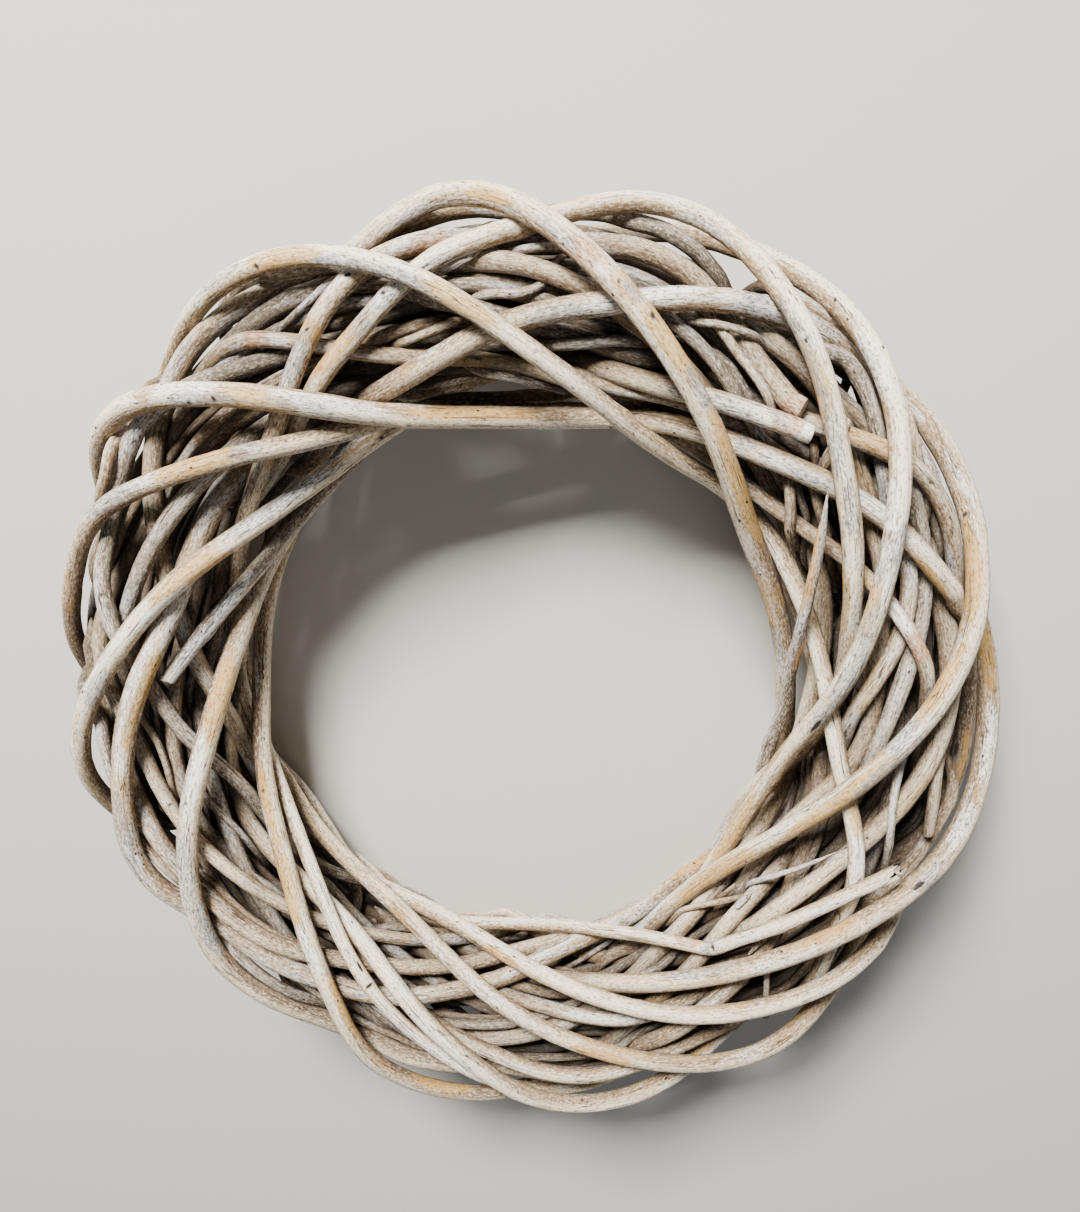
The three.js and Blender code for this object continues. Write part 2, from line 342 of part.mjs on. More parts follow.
    [122, 228, 2], [140, 242, 0], [160, 256, 0], [185, 272, 0], [210, 288, 0], [235, 298, 0], [260, 292, 0],
    [285, 282, 0], [310, 270, 0], [335, 256, 0], [352, 246, 0],
  ]),
  rod('rod_back_c', 9.6, 8.8, [
    [238, 250, 0], [255, 254, 0], [275, 262, 0], [300, 276, 0], [325, 290, 0], [350, 296, 0], [375, 288, 0],
    [400, 274, 0], [425, 258, 0], [448, 242, 0], [464, 230, 2],
  ]),
  rod('rod_back_d', 9.2, 8.4, [
    [56, 302, 0], [75, 298, 0], [98, 290, 2], [120, 276, 6], [142, 258, 3], [165, 244, 0], [190, 236, 0],
    [215, 244, 2], [238, 262, 6], [262, 280, 3], [284, 292, 0], [302, 302, 0],
  ]),
  rod('rod_back_e', 9.2, 8.4, [
    [176, 302, 0], [195, 298, 0], [218, 290, 3], [240, 272, 6], [262, 254, 3], [285, 242, 0], [310, 236, 0],
    [335, 246, 2], [358, 264, 6], [382, 282, 3], [404, 294, 0], [422, 302, 0],
  ]),
  rod('rod_back_f', 9.2, 8.4, [
    [296, 302, 0], [315, 298, 0], [338, 290, 3], [360, 272, 6], [382, 254, 3], [405, 240, 0], [430, 234, 0],
    [455, 244, 2], [478, 262, 6], [502, 280, 3], [524, 292, 0], [542, 302, 0],
  ]),
  rod('rod_core_a', 9.0, 8.0, [
    [30, 200, 18], [60, 150, 21], [90, 110, 22], [120, 60, 22], [150, 20, 22], [180, -20, 20], [205, -50, 16],
  ]),
  rod('rod_core_b', 9.0, 8.0, [
    [160, 210, 18], [190, 160, 21], [220, 110, 22], [250, 60, 22], [280, 20, 22], [310, -20, 20],
    [335, -50, 16],
  ]),
  rod('rod_core_c', 9.0, 8.0, [
    [280, 210, 18], [310, 160, 21], [340, 110, 22], [370, 60, 22], [400, 20, 22], [430, -20, 20],
    [455, -50, 16],
  ]),
];

const radians = (degrees) => (degrees * Math.PI) / 180;

// Point of a route: the middle of the rod, in millimetres.
function routePoint([ring, tube, depth], radius) {
  const across = (TUBE_HALF_WIDTH - depth - radius) * Math.cos(radians(tube));
  const up = (TUBE_HALF_HEIGHT - depth - radius) * Math.sin(radians(tube));
  const out = RING_RADIUS + across;
  return new THREE.Vector3(
    out * Math.cos(radians(ring)),
    out * Math.sin(radians(ring)),
    TUBE_HALF_HEIGHT + up,
  );
}

// Evenly spaced middle points along a rod, with the small wobbles of its hand-read route evened out.
function layOut(item) {
  const meanRadius = (item.thickness + item.thinEnd) / 4;
  const curve = new THREE.CatmullRomCurve3(
    item.route.map((entry) => routePoint(entry, meanRadius)), false, 'centripetal');
  curve.arcLengthDivisions = CURVE_SAMPLES;
  const count = Math.max(FEWEST_LINKS, Math.round(curve.getLength() / STEP));
  const points = [];
  for (let i = 0; i <= count; i += 1) points.push(curve.getPointAt(i / count));
  for (const amount of SMOOTHING) {
    const before = points.map((point) => point.clone());
    for (let i = 1; i < count; i += 1) {
      const middle = before[i - 1].clone().add(before[i + 1]).multiplyScalar(0.5);
      points[i].lerpVectors(before[i], middle, amount);
    }
  }
  const radii = points.map((_, i) => {
    const share = i / count;
    return (item.thickness * (1 - share) + item.thinEnd * share) / 2;
  });
  const sides = Math.max(item.thickness, item.thinEnd) >= THICK_FROM ? SIDES_THICK : SIDES;
  return { name: item.name, points, radii, sides };
}

const rods = RODS.map(layOut);

// All rods' points in flat lists, so that settling is quick.
const starts = [];
let total = 0;
for (const item of rods) {
  starts.push(total);
  total += item.points.length;
}
const place = new Float64Array(total * 3);
const wanted = new Float64Array(total * 3);
const thick = new Float64Array(total);
const lowest = new Float64Array(total);
const give = new Float64Array(total);
const rodOf = new Int32Array(total);
rods.forEach((item, r) => {
  item.points.forEach((point, i) => {
    const n = starts[r] + i;
    place.set([point.x, point.y, point.z], n * 3);
    wanted.set([point.x, point.y, point.z], n * 3);
    thick[n] = item.radii[i];
    lowest[n] = item.radii[i] * Math.cos(Math.PI / item.sides);
    give[n] = 1 / (item.radii[i] * item.radii[i]);
    rodOf[n] = r;
  });
});
const links = [];
for (let n = 0; n + 1 < total; n += 1) {
  if (rodOf[n] === rodOf[n + 1]) links.push(n);
}
const restLength = links.map((n) => Math.hypot(
  wanted[n * 3] - wanted[n * 3 + 3],
  wanted[n * 3 + 1] - wanted[n * 3 + 4],
  wanted[n * 3 + 2] - wanted[n * 3 + 5]));

// Nearest points of two straight links, as shares along each, and their distance apart.
const near = { s: 0, t: 0, distance: 0, x: 0, y: 0, z: 0 };
function nearest(a, b) {
  const ax = place[a * 3], ay = place[a * 3 + 1], az = place[a * 3 + 2];
  const bx = place[b * 3], by = place[b * 3 + 1], bz = place[b * 3 + 2];
  const ux = place[a * 3 + 3] - ax, uy = place[a * 3 + 4] - ay, uz = place[a * 3 + 5] - az;
  const vx = place[b * 3 + 3] - bx, vy = place[b * 3 + 4] - by, vz = place[b * 3 + 5] - bz;
  const wx = ax - bx, wy = ay - by, wz = az - bz;
  const uu = ux * ux + uy * uy + uz * uz;
  const vv = vx * vx + vy * vy + vz * vz;
  const uv = ux * vx + uy * vy + uz * vz;
  const uw = ux * wx + uy * wy + uz * wz;
  const vw = vx * wx + vy * wy + vz * wz;
  const denominator = uu * vv - uv * uv;
  let s = denominator > TINY ? (uv * vw - vv * uw) / denominator : 0;
  s = Math.min(1, Math.max(0, s));
  let t = (uv * s + vw) / vv;
  if (t < 0) {
    t = 0;
    s = Math.min(1, Math.max(0, -uw / uu));
  } else if (t > 1) {
    t = 1;
    s = Math.min(1, Math.max(0, (uv - uw) / uu));
  }
  near.s = s;
  near.t = t;
  near.x = wx + ux * s - vx * t;
  near.y = wy + uy * s - vy * t;
  near.z = wz + uz * s - vz * t;
  near.distance = Math.hypot(near.x, near.y, near.z);
}

// Pairs of links of different rods that are close enough to meet soon.
function findPairs() {
  const pairs = [];
  const reach = STEP + THICKEST_ROD + SEARCH_MARGIN;
  for (let i = 0; i < links.length; i += 1) {
    const a = links[i];
    const mx = place[a * 3] + place[a * 3 + 3];
    const my = place[a * 3 + 1] + place[a * 3 + 4];
    const mz = place[a * 3 + 2] + place[a * 3 + 5];
    for (let j = i + 1; j < links.length; j += 1) {
      const b = links[j];
      if (rodOf[a] === rodOf[b]) continue;
      const dx = Math.abs(mx - place[b * 3] - place[b * 3 + 3]) / 2;
      if (dx > reach) continue;
      const dy = Math.abs(my - place[b * 3 + 1] - place[b * 3 + 4]) / 2;
      if (dy > reach) continue;
      const dz = Math.abs(mz - place[b * 3 + 2] - place[b * 3 + 5]) / 2;
      if (dz > reach) continue;
      nearest(a, b);
      if (near.distance < thick[a] + thick[b] + GAP + SEARCH_MARGIN) pairs.push(a, b);
    }
  }
  return pairs;
}

// Push one pair of links apart until their round outlines are GAP apart. Returns how short they were.
function pushApart(a, b, swell) {
  nearest(a, b);
  const { s, t } = near;
  const radiusA = thick[a] * (1 - s) + thick[a + 1] * s;
  const radiusB = thick[b] * (1 - t) + thick[b + 1] * t;
  const short = (radiusA + radiusB) * swell + GAP - near.distance;
  if (short <= 0) return 0;
  const scale = 1 / Math.max(near.distance, TINY);
  const nx = near.x * scale, ny = near.y * scale, nz = near.z * scale;
  const shares = [1 - s, s, 1 - t, t];
  const nodes = [a, a + 1, b, b + 1];
  let weight = 0;
  for (let k = 0; k < 4; k += 1) weight += give[nodes[k]] * shares[k] * shares[k];
  for (let k = 0; k < 4; k += 1) {
    const amount = ((k < 2 ? 1 : -1) * short * give[nodes[k]] * shares[k]) / weight;
    place[nodes[k] * 3] += nx * amount;
    place[nodes[k] * 3 + 1] += ny * amount;
    place[nodes[k] * 3 + 2] += nz * amount;
  }
  return short;
}

// Keep links at their length.
function keepLengths() {
  links.forEach((n, i) => {
    const dx = place[n * 3 + 3] - place[n * 3];
    const dy = place[n * 3 + 4] - place[n * 3 + 1];
    const dz = place[n * 3 + 5] - place[n * 3 + 2];
    const length = Math.hypot(dx, dy, dz);
    const share = (LENGTH_SHARE * (length - restLength[i])) / length;
    place[n * 3] += dx * share;
    place[n * 3 + 1] += dy * share;
    place[n * 3 + 2] += dz * share;
    place[n * 3 + 3] -= dx * share;
    place[n * 3 + 4] -= dy * share;
    place[n * 3 + 5] -= dz * share;
  });
}

// Bend each rod back towards the curve of its route, as a springy rod would.
function springBack(strength) {
  for (let n = 1; n + 1 < total; n += 1) {
    if (rodOf[n - 1] !== rodOf[n + 1]) continue;
    for (let axis = 0; axis < 3; axis += 1) {
      const i = n * 3 + axis;
      const bend = place[i - 3] + place[i + 3] - 2 * place[i];
      const restBend = wanted[i - 3] + wanted[i + 3] - 2 * wanted[i];
      const amount = (bend - restBend) * strength;
      place[i] += amount * 0.5;
      place[i - 3] -= amount * 0.25;
      place[i + 3] -= amount * 0.25;
    }
  }
}

function pullHome(strength) {
  for (let i = 0; i < place.length; i += 1) place[i] += (wanted[i] - place[i]) * strength;
}

function standOnFloor() {
  for (let n = 0; n < total; n += 1) place[n * 3 + 2] = Math.max(place[n * 3 + 2], lowest[n]);
}

// Weaving: rods start thin, in their order of over and under, and swell to full thickness.
let pairs = [];
for (let round = 0; round < SETTLE_ROUNDS; round += 1) {
  if (round % SEARCH_EVERY === 0) pairs = findPairs();
  const swell = Math.min(1, FIRST_SWELL + ((1 - FIRST_SWELL) * round) / SWELL_ROUNDS);
  const late = Math.max(0, (round - SWELL_ROUNDS) / (SETTLE_ROUNDS - SWELL_ROUNDS));
  pullHome(HOME_PULL * (1 - late));
  springBack(SPRING * (1 - SPRING_SLACKENS * late));
  keepLengths();
  for (let k = 0; k < pairs.length; k += 2) pushApart(pairs[k], pairs[k + 1], swell);
  standOnFloor();
}

// Set the lowest rods down flat, then clear the last small overlaps with those points held on the floor.
const onFloor = [];
for (let n = 0; n < total; n += 1) {
  if (place[n * 3 + 2] < lowest[n] + SET_DOWN) onFloor.push(n);
}
let worst = 0;
for (let round = 0; round < FINAL_ROUNDS; round += 1) {
  if (round % SEARCH_EVERY === 0) pairs = findPairs();
  worst = 0;
  for (const n of onFloor) place[n * 3 + 2] = lowest[n];
  for (let k = 0; k < pairs.length; k += 2) worst = Math.max(worst, pushApart(pairs[k], pairs[k + 1], 1));
  standOnFloor();
  if (worst < GAP - GAP_ACCEPTED && round > SEARCH_EVERY) break;
  springBack(FINAL_SPRING);
}
for (const n of onFloor) place[n * 3 + 2] = lowest[n];
pairs = findPairs();
let tightest = Infinity;
for (let k = 0; k < pairs.length; k += 2) {
  const [a, b] = [pairs[k], pairs[k + 1]];
  nearest(a, b);
  const reachA = thick[a] * (1 - near.s) + thick[a + 1] * near.s;
  const reachB = thick[b] * (1 - near.t) + thick[b + 1] * near.t;
  tightest = Math.min(tightest, near.distance - reachA - reachB);
}
if (tightest < LEAST_GAP) throw new Error(`two rods are only ${tightest.toFixed(3)} mm apart`);

// A faceted tube round the settled points. One side always faces straight down, so that a rod that lies
// on the floor rests on a flat.
function tube(item, r) {
  const count = item.points.length;
  const at = (i) => new THREE.Vector3().fromArray(place, (starts[r] + i) * 3);
  const vertices = [];
  for (let i = 0; i < count; i += 1) {
    const along = at(Math.min(i + 1, count - 1)).sub(at(Math.max(i - 1, 0))).normalize();
    const resting = Math.abs(at(i).z - lowest[starts[r] + i]) < TINY;
    if (resting) along.setZ(0).normalize();
    const down = new THREE.Vector3(0, 0, -1).addScaledVector(along, along.z).normalize();
    const side = new THREE.Vector3().crossVectors(along, down);
    for (let k = 0; k < item.sides; k += 1) {
      const turn = (2 * Math.PI * (k + 0.5)) / item.sides;
      const vertex = at(i)
        .addScaledVector(down, item.radii[i] * Math.cos(turn))
        .addScaledVector(side, item.radii[i] * Math.sin(turn));
      vertices.push(vertex.x, vertex.y, Math.abs(vertex.z) < TINY ? 0 : vertex.z);
    }
  }
  const faces = [];
  for (let i = 0; i + 1 < count; i += 1) {
    for (let k = 0; k < item.sides; k += 1) {
      const here = i * item.sides + k;
      const beside = i * item.sides + ((k + 1) % item.sides);
      faces.push(here, beside, here + item.sides);
      faces.push(beside, beside + item.sides, here + item.sides);
    }
  }
  const last = (count - 1) * item.sides;
  for (let k = 1; k + 1 < item.sides; k += 1) {
    faces.push(0, k + 1, k);
    faces.push(last, last + k, last + k + 1);
  }
  return { vertices, faces };
}

const tubes = rods.map(tube);

// The box round the whole wreath is centred on the origin, seen from above.
const box = new THREE.Box3();
for (const { vertices } of tubes) {
  for (let i = 0; i < vertices.length; i += 3) {
    box.expandByPoint(new THREE.Vector3(vertices[i], vertices[i + 1], vertices[i + 2]));
  }
}
const middle = box.getCenter(new THREE.Vector3());

// Stripped willow under a thin greige wash, a little different from rod to rod.
const WOOD_COLOURS = ['#d3c3aa', '#cbb898', '#c4b6a2', '#d8cab4', '#c9b28c', '#bfb09c'];
const WOOD_ROUGHNESS = 0.78;

const wreath = new THREE.Group();
wreath.userData.ringCentre = [-middle.x, -middle.y, TUBE_HALF_HEIGHT];
tubes.forEach(({ vertices, faces }, r) => {
  const moved = vertices.map((value, i) => (i % 3 === 2 ? value : value - middle.getComponent(i % 3)));
  const geometry = new THREE.BufferGeometry();
  geometry.setAttribute('position', new THREE.Float32BufferAttribute(moved, 3));
  geometry.setIndex(faces);
  geometry.computeVertexNormals();
  const material = new THREE.MeshStandardMaterial({
    color: WOOD_COLOURS[r % WOOD_COLOURS.length],
    roughness: WOOD_ROUGHNESS,
    metalness: 0,
  });
  const mesh = new THREE.Mesh(geometry, material);
  mesh.name = rods[r].name;
  wreath.add(mesh);
});

export default wreath;
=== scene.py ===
"""Looks of a willow wreath: stripped, whitewashed rods woven into a thick open ring, seen from above.

Every rod of the frame is rebuilt as a round tapering rod with its bud scars, knots, cut ends and grain,
and thin rods fill the inside of the ring. Lengths are in metres, angles in degrees.
"""
import json
import math
import random
from collections import defaultdict
from functools import partial

import bmesh
import bpy
import numpy as np
from mathutils import Matrix, Vector
from mathutils.kdtree import KDTree


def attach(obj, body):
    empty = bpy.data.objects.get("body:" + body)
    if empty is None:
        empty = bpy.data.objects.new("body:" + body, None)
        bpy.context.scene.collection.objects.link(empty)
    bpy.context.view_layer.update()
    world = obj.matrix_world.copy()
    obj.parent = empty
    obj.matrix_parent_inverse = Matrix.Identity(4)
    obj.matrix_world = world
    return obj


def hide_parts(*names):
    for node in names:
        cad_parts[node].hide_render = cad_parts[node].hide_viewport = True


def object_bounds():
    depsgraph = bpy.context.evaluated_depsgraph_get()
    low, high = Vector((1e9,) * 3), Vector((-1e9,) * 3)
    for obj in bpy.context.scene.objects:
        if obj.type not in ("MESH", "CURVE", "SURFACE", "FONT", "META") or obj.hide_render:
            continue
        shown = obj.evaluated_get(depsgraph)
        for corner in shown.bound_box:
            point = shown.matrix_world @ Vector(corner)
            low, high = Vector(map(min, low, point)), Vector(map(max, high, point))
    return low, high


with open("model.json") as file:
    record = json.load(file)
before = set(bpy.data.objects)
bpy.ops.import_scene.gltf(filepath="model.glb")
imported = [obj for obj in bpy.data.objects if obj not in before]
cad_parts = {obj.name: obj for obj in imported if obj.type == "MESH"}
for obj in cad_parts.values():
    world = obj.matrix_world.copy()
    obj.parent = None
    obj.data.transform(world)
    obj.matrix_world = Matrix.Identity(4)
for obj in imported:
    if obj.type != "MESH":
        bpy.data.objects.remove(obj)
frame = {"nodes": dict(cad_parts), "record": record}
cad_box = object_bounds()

MM = 0.001

# The ring: an oval tube of rods swept round a circle, as in the part.
RING_CENTRE = np.array([-4.745, 0.126, 53.0]) * MM
RING_RADIUS = 180 * MM
TUBE_HALF_WIDTH = 48 * MM
TUBE_HALF_HEIGHT = 53 * MM

# Camera: where it stands from the ring's centre, how it is turned, and the photo's frame.
CAMERA_FROM_RING = np.array([0.045, 0.167, 0.464])
CAMERA_PITCH = -21.0
CAMERA_YAW = 4.0
CAMERA_ROLL = -0.5
FRAME_HEIGHT_PX = 1212
FOCAL_LENGTH_PX = 998
LENS_AXIS_PX = np.array([540, 720])
SENSOR = 36.0

# Lines of sight: the nearest and farthest place on them and the step between, from the camera.
SIGHT_STEPS = (0.30, 0.62, 0.0004)

# Reading a rod of the frame: how close corners are that are one, and how its flat end is told.
WELD_DISTANCE = 0.002 * MM
LARGEST_END = 7.5 * MM
SAME_PLANE = 0.99999
FEWEST_SIDES = 5

# Mesh detail of a rod.
RING_STEP = 2.1 * MM
SIDES = 16
KNOTS_EVERY = 120 * MM
TWIG_STEP = 3.0 * MM
TWIG_SIDES = 10
TWIG_KNOTS_EVERY = 90 * MM

# Settling: the fine rods are nudged apart where rounding their bends made them touch. A rod's middle
# stays at least this share of its radius above the floor.
SETTLE_STEP = 4.0 * MM
SETTLE_ROUNDS = 60
SEARCH_EVERY = 12
SETTLE_CLEARANCE = 0.15 * MM
FRAME_ROD_WEIGHT = 0.08
FRAME_ROD_REACH = 1.2 * MM
LEAST_HEIGHT = 0.9


def length_along(points):
    """How far along their line points lie."""
    return np.concatenate([[0], np.cumsum(np.linalg.norm(np.diff(points, axis=0), axis=1))])


class Rod:
    """A rod's middle line with its radius at each point, and how freely each point gives way: 0 or 1."""

    def __init__(self, name, points, radii, loose=0.0):
        self.name = name
        self.points = np.asarray(points, dtype=float)
        self.radii = np.asarray(radii, dtype=float)
        self.loose = np.broadcast_to(np.asarray(loose, dtype=float), self.radii.shape)

    def resampled(self, step):
        """The same rod with evenly spaced points on a smooth curve through the old ones."""
        values = np.column_stack([self.points, self.radii, self.loose])
        padded = np.vstack([2 * values[0] - values[1], values, 2 * values[-1] - values[-2]])
        fine = []
        per_link = 12
        fewest_links = 4
        for i in range(1, len(padded) - 2):
            before, start, end, after = padded[i - 1:i + 3]
            for k in range(per_link):
                t = k / per_link
                fine.append(0.5 * (2 * start + (end - before) * t
                                   + (2 * before - 5 * start + 4 * end - after) * t * t
                                   + (3 * start - before - 3 * end + after) * t ** 3))
        fine.append(values[-1])
        fine = np.array(fine)
        along = length_along(fine[:, :3])
        count = max(fewest_links, int(round(along[-1] / step)))
        at = np.linspace(0, along[-1], count + 1)
        even = np.column_stack([np.interp(at, along, column) for column in fine.T])
        return Rod(self.name, even[:, :3], even[:, 3], even[:, 4])


def cap_corners(mesh):
    """Corners of one flat cut end of a faceted rod."""
    seen = set()
    for first in mesh.faces:
        if first in seen:
            continue
        group, queue = [first], [first]
        seen.add(first)
        while queue:
            face = queue.pop()
            for edge in face.edges:
                for other in edge.link_faces:
                    if other not in seen and other.normal.dot(first.normal) > SAME_PLANE:
                        seen.add(other)
                        group.append(other)
                        queue.append(other)
        corners = {corner for face in group for corner in face.verts}
        middle = sum((c.co for c in corners), first.verts[0].co * 0) / len(corners)
        if len(corners) >= FEWEST_SIDES and max((c.co - middle).length for c in corners) < LARGEST_END:
            return corners
    raise ValueError("a rod of the frame has no flat end")


def read_rod(name):
    """Middle line and radii of a rod of the frame, walked ring by ring from one cut end to the other."""
    mesh = bmesh.new()
    mesh.from_mesh(frame["nodes"][name].data)
    bmesh.ops.remove_doubles(mesh, verts=mesh.verts, dist=WELD_DISTANCE)
    mesh.normal_update()
    ring = cap_corners(mesh)
    points, radii, seen = [], [], set()
    while ring:
        corners = np.array([corner.co[:] for corner in ring])
        middle = corners.mean(axis=0)
        points.append(middle)
        radii.append(np.linalg.norm(corners - middle, axis=1).mean())
        seen |= ring
        ring = {edge.other_vert(corner) for corner in ring for edge in corner.link_edges} - seen
    mesh.free()
    return Rod(name, points, radii)


def tube_point(ring_angle, tube_angle, depth_mm, radius):
    """A rod's middle at an angle round the ring and round the tube, its face so many mm under the oval."""
    ring, tube = math.radians(ring_angle), math.radians(tube_angle)
    across = (TUBE_HALF_WIDTH - depth_mm * MM - radius) * math.cos(tube)
    up = (TUBE_HALF_HEIGHT - depth_mm * MM - radius) * math.sin(tube)
    out = RING_RADIUS + across
    return RING_CENTRE + np.array([out * math.cos(ring), out * math.sin(ring), up])


def oval_level(points, under):
    """How far out points lie in the tube: 1 on the oval that runs so far under the ring's own oval."""
    across = np.linalg.norm(points[:, :2] - RING_CENTRE[:2], axis=1) - RING_RADIUS
    up = points[:, 2] - RING_CENTRE[2]
    return np.hypot(across / (TUBE_HALF_WIDTH - under), up / (TUBE_HALF_HEIGHT - under))


def camera_turn():
    """Turn from the camera's axes to the frame's: its columns are right, up and backwards."""
    pitch, yaw, roll = (math.radians(a) for a in (CAMERA_PITCH, CAMERA_YAW, CAMERA_ROLL))
    return Matrix.Rotation(pitch, 3, "X") @ Matrix.Rotation(yaw, 3, "Y") @ Matrix.Rotation(roll, 3, "Z")


CAMERA_PLACE = RING_CENTRE + CAMERA_FROM_RING
CAMERA_AXES = np.array(camera_turn())


def photo_spot(points):
    """Where points fall in the photo, in its pixels, and how far they lie in front of the camera."""
    seen = (points - CAMERA_PLACE) @ CAMERA_AXES
    distance = -seen[..., 2]
    flat = np.stack([seen[..., 0], -seen[..., 1]], axis=-1) / distance[..., None]
    return LENS_AXIS_PX + FOCAL_LENGTH_PX * flat, distance


def behind_spot(x, y, depth_mm, radius):
    """The point behind a spot of the photo where a rod's face lies so many mm under the oval."""
    across, down = (np.array([x, y]) - LENS_AXIS_PX) / FOCAL_LENGTH_PX
    sight = CAMERA_AXES @ np.array([across, -down, -1.0])
    points = CAMERA_PLACE + np.arange(*SIGHT_STEPS)[:, None] * sight
    level = oval_level(points, depth_mm * MM + radius)
    inside = np.nonzero(level <= 1)[0]
    return points[inside[0] if len(inside) else np.argmin(level)]


def twigs_seen():
    """The thin rods that can be told apart in the dark between the rods of the frame."""
    rods = []
    for name, thick_mm, thin_mm, spots in TWIGS:
        radii = np.linspace(thick_mm, thin_mm, len(spots)) / 2 * MM
        points = [behind_spot(x, y, depth, radius) for (x, y, depth), radius in zip(spots, radii)]
        rods.append(Rod(name, points, radii, 1.0))
    return rods


# The seeded rods: how many, how thick, how far they start from even places, how far they run round the
# ring, how fast they wind round the tube, how deep they lie under the oval and how far they sway from
# that, over how many radians, and how they thin from their thick end.
INNER_SEED = 7
INNER_RODS = 88
INNER_THICKNESS_MM = (3.6, 6.4)
INNER_SCATTER = 6
INNER_SPAN = (70, 150)
INNER_WINDING = (0.5, 1.3)
INNER_DEPTH_MM = (15, 34)
INNER_SWAY_MM = (3, 8)
SWAY_ANGLE = 7.0
DEGREES_PER_LINK = 7
THICK_END = 1.1
TAPER = 0.45


def inner_rods():
    """Thin rods wound through the inside of the ring, drawn by a seeded rule."""
    draw = random.Random(INNER_SEED)
    rods = []
    for k in range(INNER_RODS):
        thickness = draw.uniform(*INNER_THICKNESS_MM) * MM
        start = 360 * k / INNER_RODS + draw.uniform(-INNER_SCATTER, INNER_SCATTER)
        span = draw.uniform(*INNER_SPAN)
        turn = draw.choice([-1, 1]) * draw.uniform(*INNER_WINDING)
        tube_start = draw.uniform(0, 360)
        depth = draw.uniform(*INNER_DEPTH_MM)
        sway = draw.uniform(*INNER_SWAY_MM)
        phase = draw.uniform(0, 2 * math.pi)
        count = int(span / DEGREES_PER_LINK)
        points, radii = [], []
        for i in range(count + 1):
            share = i / count
            radius = thickness / 2 * (THICK_END - TAPER * share)
            depth_here = depth + sway * math.sin(phase + share * SWAY_ANGLE)
            points.append(tube_point(start + span * share, tube_start + turn * span * share,
                                     depth_here, radius))
            radii.append(radius)
        rods.append(Rod(f"inner_{k:02d}", points, radii, 1.0))
    return rods


# Cut ends that lie open in the photo, by rod and end (0 for the thick end, 1 for the thin one).
OPEN_ENDS = {("rod_left_grey_cut", 0), ("rod_right_tapered_tip", 1), ("rod_upper_right_cut_a", 1),
             ("rod_bottom_inner_long", 0), ("rod_hole_bottom", 0), ("rod_left_crossing_c", 0),
             ("twig_thin_tip", 0), ("twig_thin_tip", 1), ("twig_yellow_stub", 0), ("twig_yellow_stub", 1),
             ("twig_white_stub", 1), ("twig_pale_broken", 1), ("twig_ochre_bit", 1)}
# Open ends that reach a little further than in the part, by so many mm.
RUN_ON_MM = {("rod_hole_bottom", 1): 9, ("rod_top_third_bow", 1): 8}
# Hidden ends that stop a little short of their place in the part, by so many mm.
CUT_BACK_MM = {("rod_left_crossing_b", 1): 36}
TUCK_LENGTH = 28 * MM
TUCK_STEPS = 7
TUCK_BEND = 0.17
TUCK_THINNING = 0.4


def cut_back(rod):
    """The rod without the length by which its hidden ends stop short."""
    points, radii = rod.points, rod.radii
    for (name, end), length_mm in CUT_BACK_MM.items():
        if name == rod.name:
            drop = int(round(length_mm * MM / SETTLE_STEP))
            kept = slice(None, -drop) if end else slice(drop, None)
            points, radii = points[kept], radii[kept]
    return Rod(rod.name, points, radii)


def run_on(rod, end):
    """The rod with one end run on: straight where it lies open, else thinning and tucked into the ring."""
    if (rod.name, end) in OPEN_ENDS:
        return rod
    open_length = RUN_ON_MM.get((rod.name, end), 0) * MM
    bend, thinning = (0.0, 0.0) if open_length else (TUCK_BEND, TUCK_THINNING)
    step = (open_length or TUCK_LENGTH) / TUCK_STEPS
    points, radii = (rod.points, rod.radii) if end else (rod.points[::-1], rod.radii[::-1])
    points, radii, loose = list(points), list(radii), list(rod.loose if end else rod.loose[::-1])
    way = points[-1] - points[-2]
    last_radius = radii[-1]
    for k in range(1, TUCK_STEPS + 1):
        way = way / np.linalg.norm(way)
        flat = points[-1][:2] - RING_CENTRE[:2]
        middle = np.append(RING_CENTRE[:2] + flat / np.linalg.norm(flat) * RING_RADIUS, RING_CENTRE[2])
        inward = (middle - points[-1]) / np.linalg.norm(middle - points[-1])
        way = way + bend * inward
        points.append(points[-1] + way / np.linalg.norm(way) * step)
        radii.append(last_radius * (1 - thinning * k / TUCK_STEPS))
        loose.append(1.0)
    if end:
        return Rod(rod.name, points, radii, loose)
    return Rod(rod.name, points[::-1], radii[::-1], loose[::-1])


# Where the photo shows the middle of a rod whose place in the part is a little off.
SEEN_COURSE = {
    "rod_right_tapered_tip": [(828, 490), (824, 520), (817, 560), (808, 600), (798, 640), (788, 680)],
    "rod_hole_bottom": [(560, 925), (600, 930), (640, 935), (680, 943), (708, 949), (716, 948), (740, 939),
                        (780, 926), (820, 908), (880, 880), (900, 867)],
}
COURSE_FADE_PX = 60


def on_seen_course(rod):
    """The rod moved across its length in the picture onto its seen course, at the depth that it had."""
    course = np.array(SEEN_COURSE[rod.name])
    spots, distance = photo_spot(rod.points)
    along = int(np.argmax(np.ptp(course, axis=0)))
    across = 1 - along
    wanted = np.interp(spots[:, along], course[:, along], course[:, across])
    outside = np.maximum(course[0, along] - spots[:, along], spots[:, along] - course[-1, along])
    fade = np.clip(1 - outside / COURSE_FADE_PX, 0, 1)
    shift = (wanted - spots[:, across]) * fade * distance / FOCAL_LENGTH_PX
    sideways = (CAMERA_AXES[:, 0], -CAMERA_AXES[:, 1])[across]
    return Rod(rod.name, rod.points + shift[:, None] * sideways, rod.radii, rod.loose)


LEAST_INNER_DEPTH = 8 * MM
SHORTEST_INNER_ROD = 50 * MM


